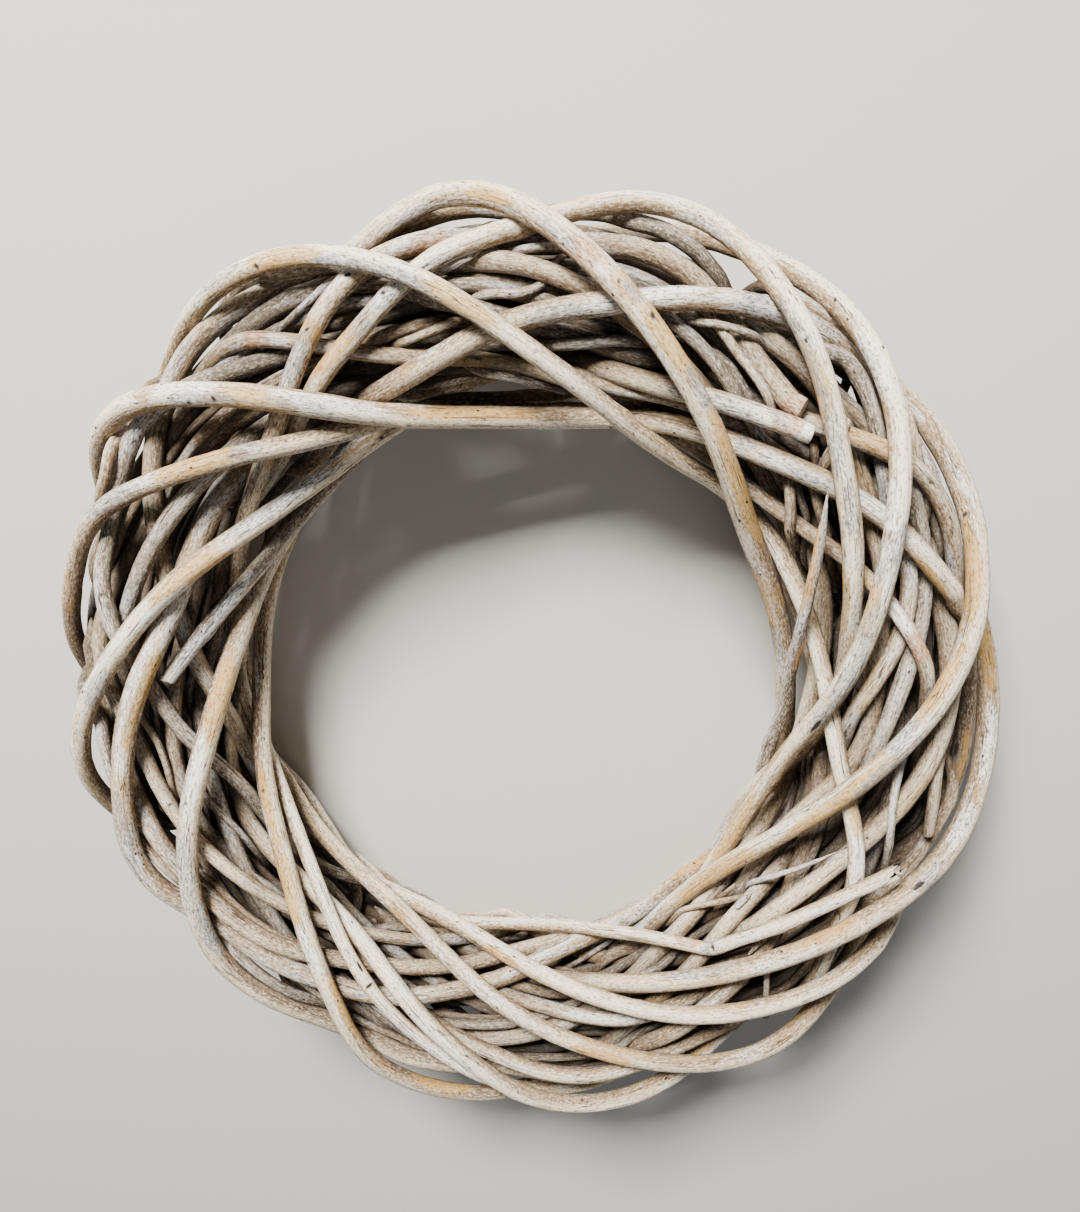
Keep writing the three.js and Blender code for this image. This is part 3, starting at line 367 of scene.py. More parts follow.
def deep_part(rod):
    """The longest length of an inner rod that stays well under the oval, or nothing if it is short."""
    deep = oval_level(rod.points, LEAST_INNER_DEPTH + rod.radii) <= 1
    best, start = (0, 0), None
    for i, inside in enumerate([*deep, False]):
        if inside and start is None:
            start = i
        if not inside and start is not None:
            best = max(best, (i - start, start))
            start = None
    length, start = best
    if (length - 1) * TWIG_STEP < SHORTEST_INNER_ROD:
        return None
    return Rod(rod.name, rod.points[start:start + length], rod.radii[start:start + length])


def settle(rods):
    """Push touching rods apart. Rods of the frame hardly move, and the loose thin ones give way."""
    first = np.cumsum([0] + [len(rod.points) for rod in rods])
    home = np.vstack([rod.points for rod in rods])
    place = home.copy()
    radius = np.concatenate([rod.radii for rod in rods])
    owner = np.repeat(np.arange(len(rods)), np.diff(first))
    loose = np.concatenate([rod.loose for rod in rods]) > 0.5
    give = np.where(loose, 1.0, FRAME_ROD_WEIGHT)
    reach = 2 * radius.max() + 2 * SETTLE_STEP
    pairs = None
    for round_number in range(SETTLE_ROUNDS):
        if round_number % SEARCH_EVERY == 0:
            tree = KDTree(len(place))
            for n, point in enumerate(place):
                tree.insert(point, n)
            tree.balance()
            found = []
            for n, point in enumerate(place):
                for _, other, _ in tree.find_range(point, reach):
                    if other > n and owner[other] != owner[n]:
                        found.append((n, other))
            pairs = np.array(found)
        a, b = pairs[:, 0], pairs[:, 1]
        apart = place[a] - place[b]
        distance = np.maximum(np.linalg.norm(apart, axis=1), 1e-6)
        short = radius[a] + radius[b] + SETTLE_CLEARANCE - distance
        hit = short > 0
        a, b, short = a[hit], b[hit], short[hit]
        push = apart[hit] / distance[hit, None] * (short * 0.5)[:, None]
        total = (give[a] + give[b])[:, None]
        change = np.zeros_like(place)
        count = np.zeros(len(place))
        np.add.at(change, a, push * 2 * give[a][:, None] / total)
        np.add.at(change, b, -push * 2 * give[b][:, None] / total)
        np.add.at(count, a, 1)
        np.add.at(count, b, 1)
        place += change / np.maximum(count, 1)[:, None]
        shift = place - home
        for r in range(len(rods)):
            run = shift[first[r]:first[r + 1]]
            run[1:-1] = 0.25 * run[:-2] + 0.5 * run[1:-1] + 0.25 * run[2:]
        far = np.linalg.norm(shift, axis=1)
        over = ~loose & (far > FRAME_ROD_REACH)
        shift[over] *= (FRAME_ROD_REACH / far[over])[:, None]
        place = home + shift
        place[:, 2] = np.maximum(place[:, 2], radius * LEAST_HEIGHT)
    return [Rod(rod.name, place[first[r]:first[r + 1]], rod.radii) for r, rod in enumerate(rods)]


# Marks that can be told apart on single rods, by kind: the spot in the photo, length and width in mm.
# Knots come last, because they raise the skin that the other marks are laid on.
MARKS = {
    "ochre": [(290, 255, 34, 9), (458, 302, 34, 7), (249, 400, 34, 10), (463, 415, 60, 5),
        (307, 331, 9, 13), (341, 343, 34, 8), (198, 460, 42, 9), (183, 573, 34, 8), (208, 565, 26, 6),
        (147, 678, 30, 8), (130, 720, 34, 6), (221, 693, 44, 8), (282, 882, 50, 8), (345, 1010, 40, 6),
        (263, 800, 40, 6), (345, 1062, 44, 5), (632, 280, 16, 8), (674, 342, 34, 10), (744, 486, 80, 9),
        (818, 386, 34, 9), (838, 520, 90, 8), (842, 600, 40, 8), (883, 445, 38, 8), (872, 600, 30, 6),
        (930, 572, 24, 6), (764, 600, 60, 7), (812, 570, 44, 6), (780, 759, 50, 7), (734, 826, 50, 7),
        (690, 850, 34, 6), (973, 571, 40, 8), (943, 688, 44, 7), (846, 795, 70, 8), (718, 871, 60, 8),
        (600, 905, 40, 5), (999, 642, 44, 7), (591, 963, 60, 9), (830, 930, 30, 5), (961, 768, 40, 8),
        (855, 820, 16, 5), (800, 655, 30, 6), (495, 196, 24, 6), (600, 1060, 30, 6), (700, 1050, 30, 5),
        (440, 1078, 44, 6), (500, 960, 24, 5)],
    "grey": [(346, 262, 26, 8), (384, 272, 24, 6), (215, 268, 26, 5), (205, 396, 28, 6),
        (300, 404, 24, 4), (309, 312, 20, 8), (288, 370, 34, 9), (384, 293, 14, 9), (405, 277, 18, 6),
        (358, 318, 16, 8), (246, 448, 12, 9), (112, 497, 32, 9), (264, 508, 40, 8), (98, 683, 24, 9),
        (121, 831, 44, 9), (223, 606, 24, 7), (198, 642, 30, 7), (185, 866, 44, 8), (203, 928, 34, 8),
        (90, 600, 24, 6), (718, 404, 36, 8), (700, 388, 20, 6), (804, 352, 40, 7), (834, 432, 40, 6),
        (848, 500, 26, 5), (876, 480, 20, 5), (884, 555, 24, 7), (640, 290, 12, 5), (752, 296, 12, 12),
        (560, 312, 26, 7), (780, 414, 10, 6), (810, 478, 22, 6), (745, 446, 8, 7), (900, 545, 16, 6),
        (775, 640, 24, 6), (824, 545, 34, 4), (846, 683, 40, 7), (822, 714, 20, 8), (868, 630, 26, 6),
        (903, 736, 20, 8), (708, 966, 44, 6), (925, 880, 16, 7), (958, 749, 16, 6), (890, 770, 40, 7),
        (560, 235, 20, 6), (545, 1045, 30, 5), (360, 640, 20, 3), (712, 948, 9, 8)],
    "white": [(330, 258, 22, 5), (420, 284, 20, 5), (190, 390, 34, 7), (330, 400, 50, 5),
        (276, 344, 12, 8), (243, 350, 10, 6), (318, 295, 20, 6), (380, 299, 7, 6), (150, 478, 20, 5),
        (300, 490, 30, 5), (167, 606, 34, 7), (124, 736, 34, 7), (232, 596, 26, 4), (193, 780, 40, 7),
        (305, 953, 30, 6), (611, 264, 30, 8), (780, 313, 50, 8), (869, 369, 32, 8), (886, 512, 30, 8),
        (614, 305, 24, 8), (668, 292, 28, 8), (808, 421, 7, 16), (790, 466, 26, 6), (872, 502, 20, 8),
        (806, 606, 16, 5), (882, 590, 20, 6), (912, 729, 26, 8), (989, 744, 40, 8), (958, 831, 26, 8),
        (897, 622, 26, 7), (859, 856, 16, 7), (620, 1020, 50, 6), (560, 1000, 50, 6), (640, 925, 40, 5)],
    "pink": [(150, 389, 12, 18), (259, 347, 12, 22), (432, 246, 18, 12), (590, 250, 14, 8),
        (890, 534, 6, 8), (795, 402, 9, 18), (790, 420, 12, 18), (917, 647, 14, 10), (450, 330, 16, 6),
        (690, 940, 14, 8)],
    "bark": [(343, 275, 3, 2), (387, 444, 3, 2), (168, 688, 6, 9), (361, 967, 5, 2), (818, 721, 10, 3),
        (916, 887, 8, 3), (957, 744, 9, 3)],
    "knot": [(262, 262, 3, 3), (219, 396, 3, 3), (306, 329, 2, 2), (385, 291, 3, 3), (369, 984, 3, 4),
        (656, 314, 4, 3), (828, 562, 4, 3), (840, 302, 2, 2), (968, 517, 3, 3), (716, 946, 3, 3)],
}
CHANNELS = (*MARKS, "tone")

# Thin rods in the dark, each by its thick and thin end in mm and its spots in the photo with a depth in mm.
TWIGS = [
    ("twig_top_pale", 7.4, 7.0, [(352, 262, 12), (385, 240, 9), (420, 221, 6), (460, 211, 7), (500, 214, 9),
                                 (545, 228, 12)]),
    ("twig_right_pale_band", 7.0, 6.0, [(780, 330, 14), (812, 335, 8), (840, 346, 7), (857, 372, 8),
                                        (872, 410, 9), (884, 450, 10), (893, 500, 13), (900, 560, 18)]),
    ("twig_right_upright", 6.6, 6.0, [(884, 372, 14), (898, 400, 8), (908, 430, 8), (912, 460, 11),
                                      (918, 500, 16)]),
    ("twig_thin_tip", 3.6, 1.6, [(744, 897, 14), (758, 889, 8), (773, 881, 5), (800, 869, 3), (820, 860, 2),
                                 (836, 852, 1)]),
    ("twig_pale_beside_third_bow", 4.4, 3.8, [(686, 302, 16), (706, 318, 11), (722, 333, 8), (737, 351, 7),
                                              (756, 372, 6), (769, 390, 7), (776, 408, 12)]),
    ("twig_low_cross_right", 3.4, 3.0, [(676, 322, 16), (690, 329, 11), (712, 332, 9), (730, 336, 9),
                                        (746, 341, 12)]),
    ("twig_dark_right_a", 3.4, 3.0, [(690, 335, 20), (704, 350, 16), (720, 368, 15), (735, 386, 15),
                                     (745, 398, 19)]),
    ("twig_dark_right_b", 3.8, 3.4, [(722, 344, 18), (733, 362, 14), (742, 380, 13), (753, 397, 14),
                                     (762, 408, 18)]),
    ("twig_upright_right_a", 5.0, 4.4, [(778, 470, 16), (786, 490, 10), (792, 510, 10), (797, 540, 12),
                                        (800, 570, 14), (803, 600, 18)]),
    ("twig_upright_right_b", 3.8, 3.4, [(796, 474, 18), (801, 500, 13), (806, 525, 13), (810, 560, 17)]),
    ("twig_upright_right_c", 4.8, 4.2, [(812, 470, 16), (815, 500, 11), (818, 530, 11), (822, 570, 16)]),
    ("twig_yellow_stub", 3.0, 2.6, [(752, 893, 5), (745, 900, 4), (737, 908, 3)]),
    ("twig_white_stub", 5.4, 4.6, [(826, 452, 14), (836, 436, 9), (846, 420, 5)]),
    ("twig_top_right_brown", 7.0, 6.4, [(560, 213, 14), (600, 213, 8), (632, 221, 5), (660, 229, 5),
                                        (680, 240, 6), (700, 256, 9), (718, 278, 14)]),
    ("twig_pale_broken", 6.0, 5.4, [(938, 755, 12), (935, 772, 9), (933, 800, 8), (928, 834, 8)]),
    ("twig_low_upright", 4.4, 3.6, [(896, 750, 14), (893, 775, 10), (889, 810, 9), (886, 850, 12),
                                    (884, 875, 16)]),
    ("twig_top_left_a", 3.6, 3.2, [(388, 357, 16), (405, 348, 10), (425, 336, 9), (450, 322, 11),
                                   (468, 312, 16)]),
    ("twig_top_left_b", 3.4, 3.0, [(415, 283, 16), (432, 275, 10), (460, 264, 8), (480, 260, 12)]),
    ("twig_top_middle_a", 4.0, 3.6, [(476, 297, 14), (492, 292, 9), (520, 289, 8), (540, 281, 9),
                                     (556, 272, 14)]),
    ("twig_top_middle_b", 3.6, 3.2, [(505, 248, 14), (522, 247, 9), (550, 245, 8), (580, 250, 9),
                                     (600, 256, 14)]),
    ("twig_top_middle_c", 3.4, 3.0, [(484, 238, 14), (502, 235, 9), (530, 233, 8), (560, 232, 13)]),
    ("twig_olive_a", 4.0, 3.4, [(466, 356, 18), (485, 360, 13), (520, 369, 11), (545, 380, 12),
                                (562, 390, 16)]),
    ("twig_low_dark", 3.6, 3.2, [(664, 922, 14), (682, 915, 9), (710, 907, 8), (745, 899, 14)]),
    ("twig_low_right_up", 3.4, 3.0, [(766, 962, 14), (765, 975, 9), (765, 1000, 9), (764, 1012, 14)]),
    ("twig_ochre_bit", 3.0, 2.2, [(716, 893, 9), (726, 889, 5), (736, 885, 3)]),
    ("twig_left_pale", 3.8, 3.2, [(192, 786, 16), (207, 802, 11), (226, 818, 10), (242, 832, 10),
                                  (260, 851, 15)]),
    ("twig_left_grey", 3.8, 3.2, [(128, 706, 16), (141, 721, 11), (160, 745, 10), (176, 776, 11),
                                  (182, 792, 16)]),
    ("twig_left_rim", 6.4, 6.0, [(94, 672, 17), (97, 712, 6), (106, 750, 4), (122, 784, 6),
                                 (140, 812, 11)]),
    ("twig_left_rim_low", 6.0, 5.6, [(128, 800, 11), (136, 828, 6), (150, 852, 5), (172, 880, 6),
                                     (195, 905, 11)]),
    ("twig_low_left_rim", 6.0, 5.6, [(215, 925, 11), (235, 950, 5), (262, 975, 5), (290, 995, 7),
                                     (320, 1010, 12)]),
    ("twig_left_upper", 5.6, 5.2, [(136, 405, 12), (131, 425, 7), (125, 450, 6), (119, 480, 8),
                                   (112, 510, 12)]),
    ("twig_top_left_pink", 6.6, 6.0, [(222, 318, 18), (228, 298, 8), (246, 285, 4), (281, 276, 4),
                                      (320, 272, 7), (345, 276, 12)]),
    ("twig_right_upper_rim", 7.0, 6.6, [(772, 288, 12), (790, 300, 6), (812, 312, 4), (834, 330, 5),
                                        (850, 350, 11)]),
    ("twig_right_rim", 5.6, 5.2, [(915, 425, 12), (926, 450, 7), (936, 478, 6), (942, 510, 8),
                                  (946, 540, 12)]),
]

# An uneven run is a sum of so many waves, each this much shorter or longer than the wavelength asked for.
WAVES = 4
WAVE_SPREAD = (0.6, 1.7)


def wobble(draw, at, wavelength):
    """A smooth random run of values of about -1 to 1 along a rod."""
    total = np.zeros(len(at))
    for _ in range(WAVES):
        length = wavelength * draw.uniform(*WAVE_SPREAD)
        total += math.sqrt(0.5) * np.sin(2 * math.pi * at / length + draw.uniform(0, 2 * math.pi))
    return total / math.sqrt(WAVES)


# Ends that run out to a point, with the length of the point in mm, and the share that is left at its tip.
POINTED = {("rod_right_tapered_tip", 1): 20, ("twig_thin_tip", 0): 12, ("twig_thin_tip", 1): 12,
           ("twig_yellow_stub", 0): 4, ("rod_bottom_inner_long", 0): 14, ("rod_hole_bottom", 0): 14,
           ("rod_left_crossing_c", 0): 12}
POINT_TIP = 0.12
INNER_POINT = 10 * MM
INNER_TIP = 0.25


def pointed_share(rod, at):
    """The share of its thickness that a rod has at each point, less where it runs out to a tip."""
    share = np.ones(len(at))
    if rod.name.startswith("inner_"):
        share *= np.clip(INNER_TIP + (1 - INNER_TIP) * np.minimum(at, at[-1] - at) / INNER_POINT, 0, 1)
    for end, from_end in ((0, at), (1, at[-1] - at)):
        if (rod.name, end) in POINTED:
            length = POINTED[(rod.name, end)] * MM
            share *= np.clip(POINT_TIP + (1 - POINT_TIP) * from_end / length, 0, 1)
    return share


def carried_frames(points):
    """Two directions across the rod at every point, carried along it without twist."""
    along = np.gradient(points, axis=0)
    along /= np.linalg.norm(along, axis=1)[:, None]
    side = np.cross(along[0], [0.0, 0.0, 1.0])
    if np.linalg.norm(side) < 1e-3:
        side = np.cross(along[0], [1.0, 0.0, 0.0])
    sides = []
    for direction in along:
        side = side - direction * np.dot(side, direction)
        side /= np.linalg.norm(side)
        sides.append(side)
    sides = np.array(sides)
    return along, sides, np.cross(along, sides)


# A mark goes to the front rod at its spot, or to the nearest one within some times its half width. Its
# middle stays within a share of the half width.
MARK_ON_ROD = 1.1
MARK_REACH = 2.2
MARK_INSIDE = 0.55


def find_marks(rods):
    """For each rod, its marks with the ring of the rod that each one sits on: the rod seen at that spot."""
    first = np.cumsum([0] + [len(rod.points) for rod in rods])
    spots, distance = photo_spot(np.vstack([rod.points for rod in rods]))
    reach = FOCAL_LENGTH_PX * np.concatenate([rod.radii for rod in rods]) / distance
    found = defaultdict(list)
    for kind, (x, y, length_mm, width_mm) in ((kind, mark) for kind in MARKS for mark in MARKS[kind]):
        off = np.linalg.norm(spots - [x, y], axis=1)
        hit = np.nonzero(off < reach * MARK_ON_ROD)[0]
        nearest = hit[np.argmin(distance[hit])] if len(hit) else np.argmin(off / reach)
        if off[nearest] > reach[nearest] * MARK_REACH:
            continue
        rod = np.searchsorted(first, nearest, side="right") - 1
        ring = int(np.argmin(off[first[rod]:first[rod + 1]]))
        middle, rim = spots[first[rod] + ring], reach[first[rod] + ring]
        aside = np.array([x, y]) - middle
        spot = middle + aside * min(1, MARK_INSIDE * rim / max(np.linalg.norm(aside), 1e-6))
        found[rod].append((kind, spot, ring, length_mm * MM, width_mm * MM))
    return found


# How a rod grew, in shares of its radius: its mean size, its swellings with their lengths, how oval it is
# and its lengthwise flutes with their number. Twists are in radians a metre.
MEAN_SIZE = 0.985
SWELLINGS = ((0.030, 90 * MM), (0.018, 26 * MM), (0.010, 11 * MM))
OVAL = (0.01, 0.035)
OVAL_TWIST = 4
GRAIN_TWIST = 2.5
WIDE_FLUTES = (0.010, 5)
FINE_FLUTES = (0.006, 9)

# Bud scars: the shares of their spacing before the first and between two, how high their knots are, and
# how far the knot, the collar round the rod and the scar's dimple reach.
FIRST_SCAR = (0.2, 0.9)
NEXT_SCAR = (0.45, 1.6)
SCAR_TURN = math.radians(144)
SCAR_SCATTER = 0.3
SCAR_FREE_END = 4 * MM
KNOT_HEIGHT_MM = (0.25, 0.8)
KNOT_LENGTH, KNOT_WIDTH = 3.4 * MM, 2.4 * MM
COLLAR_LENGTH, COLLAR_HEIGHT = 4.0 * MM, 0.12 * MM
DIMPLE_LENGTH, DIMPLE_WIDTH, DIMPLE_SHARE = 1.3 * MM, 1.1 * MM, 0.55
DARK_SCAR_HEIGHT = 0.6 * MM

# Marks seen in the photo: how steeply their edge fades, and for a knot how far it reaches along the rod in
# half lengths, how far it stands out and how deep its middle is.
MARK_FADE = 0.7
SEEN_KNOT_REACH = 1.6
SEEN_KNOT_HEIGHT = 0.6 * MM
SEEN_KNOT_DEPTH = 0.5 * MM

# Cut ends: how far they lean in degrees, the rings of a cap as shares of the rim, the rim's rounding, how
# rough the cut is and how deep the pith has sunk.
CUT_LEAN = (5, 38)
CAP_SHRINK = (0.93, 0.72, 0.4)
ROUNDED_RIM = 0.25 * MM
ROUGH_CUT = 0.1 * MM
SUNK_PITH = 0.2 * MM

# No two rods have the same grain: each starts somewhere in so many metres of the pattern.
GRAIN_OFFSET = 40

# Ends that are broken off and frayed rather than cut, and the slivers of wood at them. A sliver's first
# bud scar would come past its end, so it has none.
FRAYED = {"rod_hole_bottom"}
SPLINTERS = 6
SPLINTER_SIDES = 6
SPLINTER_SCATTER = 0.3
SPLINTER_ROOT = 3 * MM
SPLINTER_LENGTH_MM = (5, 8)
SPLINTER_ASIDE = (0.2, 0.5)
SPLINTER_LEAN = (0.05, 0.25)
SPLINTER_STEPS = (0, 0.35, 0.7, 1)
SPLINTER_RADII = np.array([0.9, 0.8, 0.5, 0.12]) * MM
PAST_ITS_END = 1.0


class Skin:
    """The skin of a rod: for every side of every ring, how far it stands out and which marks it bears."""

    def __init__(self, rod, sides, draw):
        self.points = rod.points
        self.along, right, up = carried_frames(rod.points)
        self.at = length_along(rod.points)
        self.turn = np.linspace(0, 2 * math.pi, sides, endpoint=False)
        self.outward = (np.cos(self.turn)[None, :, None] * right[:, None, :]
                        + np.sin(self.turn)[None, :, None] * up[:, None, :])
        uneven = MEAN_SIZE
        for share, length in SWELLINGS:
            uneven = uneven + share * wobble(draw, self.at, length)
        self.radius = rod.radii * uneven * pointed_share(rod, self.at)
        oval = draw.uniform(*OVAL)
        oval_turn = draw.uniform(0, 2 * math.pi)
        self.grain_twist = draw.uniform(-GRAIN_TWIST, GRAIN_TWIST)
        flute_turn = draw.uniform(0, 2 * math.pi)
        at = self.at[:, None]
        wide, wide_count = WIDE_FLUTES
        fine, fine_count = FINE_FLUTES
        self.surface = self.radius[:, None] * (
            1 + oval * np.cos(2 * (self.turn - oval_turn) + OVAL_TWIST * at)
            + wide * np.cos(wide_count * self.turn + flute_turn + self.grain_twist * at)
            + fine * np.cos(fine_count * self.turn + 3 * flute_turn))
        self.marks = np.zeros((len(self.at), sides, len(CHANNELS)))
        self.channel("tone")[:] = draw.random()

    def channel(self, kind):
        """The skin's marks of one kind."""
        return self.marks[:, :, CHANNELS.index(kind)]

    def beside(self, turn):
        """How far round the rod its spots lie from the line along it at one turn."""
        return (np.mod(self.turn - turn + math.pi, 2 * math.pi) - math.pi)[None, :] * self.radius[:, None]

    def grow_scars(self, scars_every, draw):
        """Raise a knot with a dark dimple at every bud scar, each turned on from the last."""
        scars = self.channel("knot")
        where = scars_every * draw.uniform(*FIRST_SCAR)
        scar_turn = draw.uniform(0, 2 * math.pi)
        while where < self.at[-1] - SCAR_FREE_END:
            height = draw.uniform(*KNOT_HEIGHT_MM) * MM
            ahead = (self.at - where)[:, None]
            beside = self.beside(scar_turn)
            knot = np.exp(-(ahead / KNOT_LENGTH) ** 2 - (beside / KNOT_WIDTH) ** 2)
            collar = np.exp(-(ahead / COLLAR_LENGTH) ** 2)
            dimple = np.exp(-(ahead / DIMPLE_LENGTH) ** 2 - (beside / DIMPLE_WIDTH) ** 2)
            self.surface += height * knot + COLLAR_HEIGHT * collar - DIMPLE_SHARE * height * dimple
            np.maximum(scars, np.minimum(1, height / DARK_SCAR_HEIGHT) * dimple, out=scars)
            where += scars_every * draw.uniform(*NEXT_SCAR)
            scar_turn += SCAR_TURN + draw.uniform(-SCAR_SCATTER, SCAR_SCATTER)

    def lay_mark(self, kind, spot, ring, length, width):
        """Lay a mark of the photo on the side of a ring that the camera sees nearest to the mark's spot."""
        seen, _ = photo_spot(self.points[ring] + self.surface[ring][:, None] * self.outward[ring])
        facing = self.outward[ring] @ (CAMERA_PLACE - self.points[ring]) > 0
        side = int(np.argmin(np.where(facing, np.linalg.norm(seen - spot, axis=1), np.inf)))
        ahead = (self.at - self.at[ring])[:, None] / (0.5 * length)
        beside = self.beside(self.turn[side])
        cover = np.exp(-MARK_FADE * (ahead ** 2 + (beside / (0.5 * width)) ** 2) ** 2)
        channel = self.channel(kind)
        np.maximum(channel, cover, out=channel)
        if kind == "knot":
            stub = np.exp(-(ahead / SEEN_KNOT_REACH) ** 2 - (beside / width) ** 2)
            self.surface += SEEN_KNOT_HEIGHT * stub - SEEN_KNOT_DEPTH * cover


def rod_mesh(rod, sides, draw, scars_every, own_marks=()):
    """Vertices, grain places and marks of one round rod, with the faces of its side and of its cut ends."""
    skin = Skin(rod, sides, draw)
    skin.grow_scars(scars_every, draw)
    for mark in own_marks:
        skin.lay_mark(*mark)
    rings = skin.points[:, None, :] + skin.surface[:, :, None] * skin.outward
    grain_turn = skin.turn + skin.grain_twist * skin.at[:, None]
    grain_at = skin.at[:, None] + draw.uniform(0, GRAIN_OFFSET)
    grain = np.stack([skin.surface * np.cos(grain_turn), skin.surface * np.sin(grain_turn),
                      np.broadcast_to(grain_at, skin.surface.shape)], axis=2)
    for end, way in ((0, 1), (-1, -1)):
        lean = math.tan(math.radians(draw.uniform(*CUT_LEAN)))
        lean_turn = draw.uniform(0, 2 * math.pi)
        if end == 0 or rod.name not in FRAYED:
            cut_back_by = way * lean * skin.surface[end] * (1 + np.cos(skin.turn - lean_turn)) / 2
            rings[end] += skin.along[end] * cut_back_by[:, None]

    last = len(rings) - 1
    around = [(k, (k + 1) % sides) for k in range(sides)]
    faces = [(i * sides + k, i * sides + m, (i + 1) * sides + m, (i + 1) * sides + k)
             for i in range(last) for k, m in around]
    cut_faces = []
    vertices, grains, marks = list(rings), list(grain), list(skin.marks)
    here = len(rings) * sides
    for end, way in ((0, -1), (last, 1)):
        middle = rings[end].mean(axis=0)
        previous = end * sides
        for step, shrink in enumerate(CAP_SHRINK):
            lift = way * (draw.uniform(-ROUGH_CUT, ROUGH_CUT) if step else ROUNDED_RIM)
            vertices.append(middle + (rings[end] - middle) * shrink + skin.along[end] * lift)
            grains.append(grain[end] * np.array([shrink, shrink, 1.0]))
            marks.append(skin.marks[end])
            quads = [(previous + k, here + k, here + m, previous + m)[::-way] for k, m in around]
            (cut_faces if step else faces).extend(quads)
            previous = here
            here += sides
        vertices.append((middle - skin.along[end] * way * SUNK_PITH)[None, :])
        grains.append(np.array([[0, 0, grain[end][0][2]]]))
        marks.append(skin.marks[end][:1])
        cut_faces.extend((previous + k, here, previous + m)[::-way] for k, m in around)
        here += 1
    return np.vstack(vertices), np.vstack(grains), np.vstack(marks), faces, cut_faces


def splinters(rod, draw):
    """Short slivers of wood that stand out of a broken end."""
    along, right, up = carried_frames(rod.points)
    parts = []
    for k in range(SPLINTERS):
        turn = 2 * math.pi * k / SPLINTERS + draw.uniform(-SPLINTER_SCATTER, SPLINTER_SCATTER)
        aside = math.cos(turn) * right[-1] + math.sin(turn) * up[-1]
        out = aside * rod.radii[-1] * draw.uniform(*SPLINTER_ASIDE)
        base = rod.points[-1] + out - along[-1] * SPLINTER_ROOT
        length = draw.uniform(*SPLINTER_LENGTH_MM) * MM
        lean = along[-1] + aside * draw.uniform(*SPLINTER_LEAN)
        points = [base + lean * length * share for share in SPLINTER_STEPS]
        sliver = Rod("splinter", points, SPLINTER_RADII)
        parts.append(rod_mesh(sliver, SPLINTER_SIDES, draw, PAST_ITS_END))
    return parts


# Where in the oval rods stop being deep and lie at its face, the shares of the wash that a side turned
# across it and a deep rod caught, and how much a side that is turned away adds to the painted shade.
# The wash is whitewash and also a painted highlight on faces turned out of the ring. Where it is thin,
# the darker wood is painted shade.
DEEP_AND_NEAR = (0.55, 0.97)
WASH_ACROSS = 0.15
WASH_DEEP = 0.25
SHADE_BEHIND = 0.35
LEAST_LEVEL = 0.05


def wash_highlight_and_shade(vertices, normals):
    """How much whitewash and painted highlight a spot has, from how far it faces out of the ring, and how
    much painted shade it has, from how deep and turned away from the outside it lies: 0 to 1.
    """
    flat = vertices[:, :2] - RING_CENTRE[:2]
    distance = np.linalg.norm(flat, axis=1)
    outward = flat / distance[:, None]
    across = (distance - RING_RADIUS) / TUBE_HALF_WIDTH
    up = (vertices[:, 2] - RING_CENTRE[2]) / TUBE_HALF_HEIGHT
    level = np.hypot(across, up)
    from_middle = np.column_stack([outward * across[:, None], up]) / np.maximum(level, LEAST_LEVEL)[:, None]
    facing = np.einsum("ij,ij->i", normals, from_middle)
    near = np.interp(level, DEEP_AND_NEAR, (0, 1))
    # Whitewash is thickest on faces turned out of the tube. It is also a painted highlight there, and
    # painted shade on the sides and deep in the ring.
    wash = np.clip(WASH_ACROSS + (1 - WASH_ACROSS) * facing, 0, 1) * (WASH_DEEP + (1 - WASH_DEEP) * near)
    # Painted shade: darker the deeper a spot lies in the ring and the more it faces away from the outside.
    deep = np.clip(1 - near + SHADE_BEHIND * np.clip(-facing, 0, 1), 0, 1)
    return wash, deep


# The rods stay inside the part's own box.
BOX_LOW, BOX_HIGH = (np.array(corner[:]) for corner in cad_box)


def make_piece(name, parts, materials):
    """One object from the meshes of one or more rods."""
    vertices = np.vstack([part[0] for part in parts])
    straights = np.vstack([part[1] for part in parts])
    marks = np.vstack([part[2] for part in parts])
    faces, cut = [], []
    start = 0
    for part in parts:
        faces += [tuple(v + start for v in face) for face in part[3]]
        cut += [tuple(v + start for v in face) for face in part[4]]
        start += len(part[0])
    vertices = np.clip(vertices, BOX_LOW, BOX_HIGH)
    mesh = bpy.data.meshes.new(name)
    mesh.from_pydata(vertices.tolist(), [], faces + cut)
    mesh.update()
    mesh.shade_smooth()
    normals = np.empty(len(vertices) * 3)
    mesh.vertices.foreach_get("normal", normals)
    mesh.attributes.new("rod_space", "FLOAT_VECTOR", "POINT").data.foreach_set("vector", straights.ravel())
    values = dict(zip(CHANNELS, marks.T))
    values["wash"], values["deep"] = wash_highlight_and_shade(vertices, normals.reshape(-1, 3))
    for key, value in values.items():
        mesh.attributes.new(key, "FLOAT", "POINT").data.foreach_set("value", np.ascontiguousarray(value))
    for material in materials:
        mesh.materials.append(material)
    index = np.zeros(len(faces) + len(cut), dtype=np.int32)
    index[len(faces):] = 1
    mesh.polygons.foreach_set("material_index", index)
    piece = bpy.data.objects.new(name, mesh)
    bpy.context.collection.objects.link(piece)
    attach(piece, "root")
    return piece


def linear(hex_colour):
    """Linear RGBA of an sRGB hex colour."""
    channels = [int(hex_colour[i:i + 2], 16) / 255 for i in (1, 3, 5)]
    return [c / 12.92 if c <= 0.04045 else ((c + 0.055) / 1.055) ** 2.4 for c in channels] + [1.0]


def new_material(name):
    material = bpy.data.materials.new(name)
    material.use_nodes = True
    material.node_tree.nodes.clear()
    return material


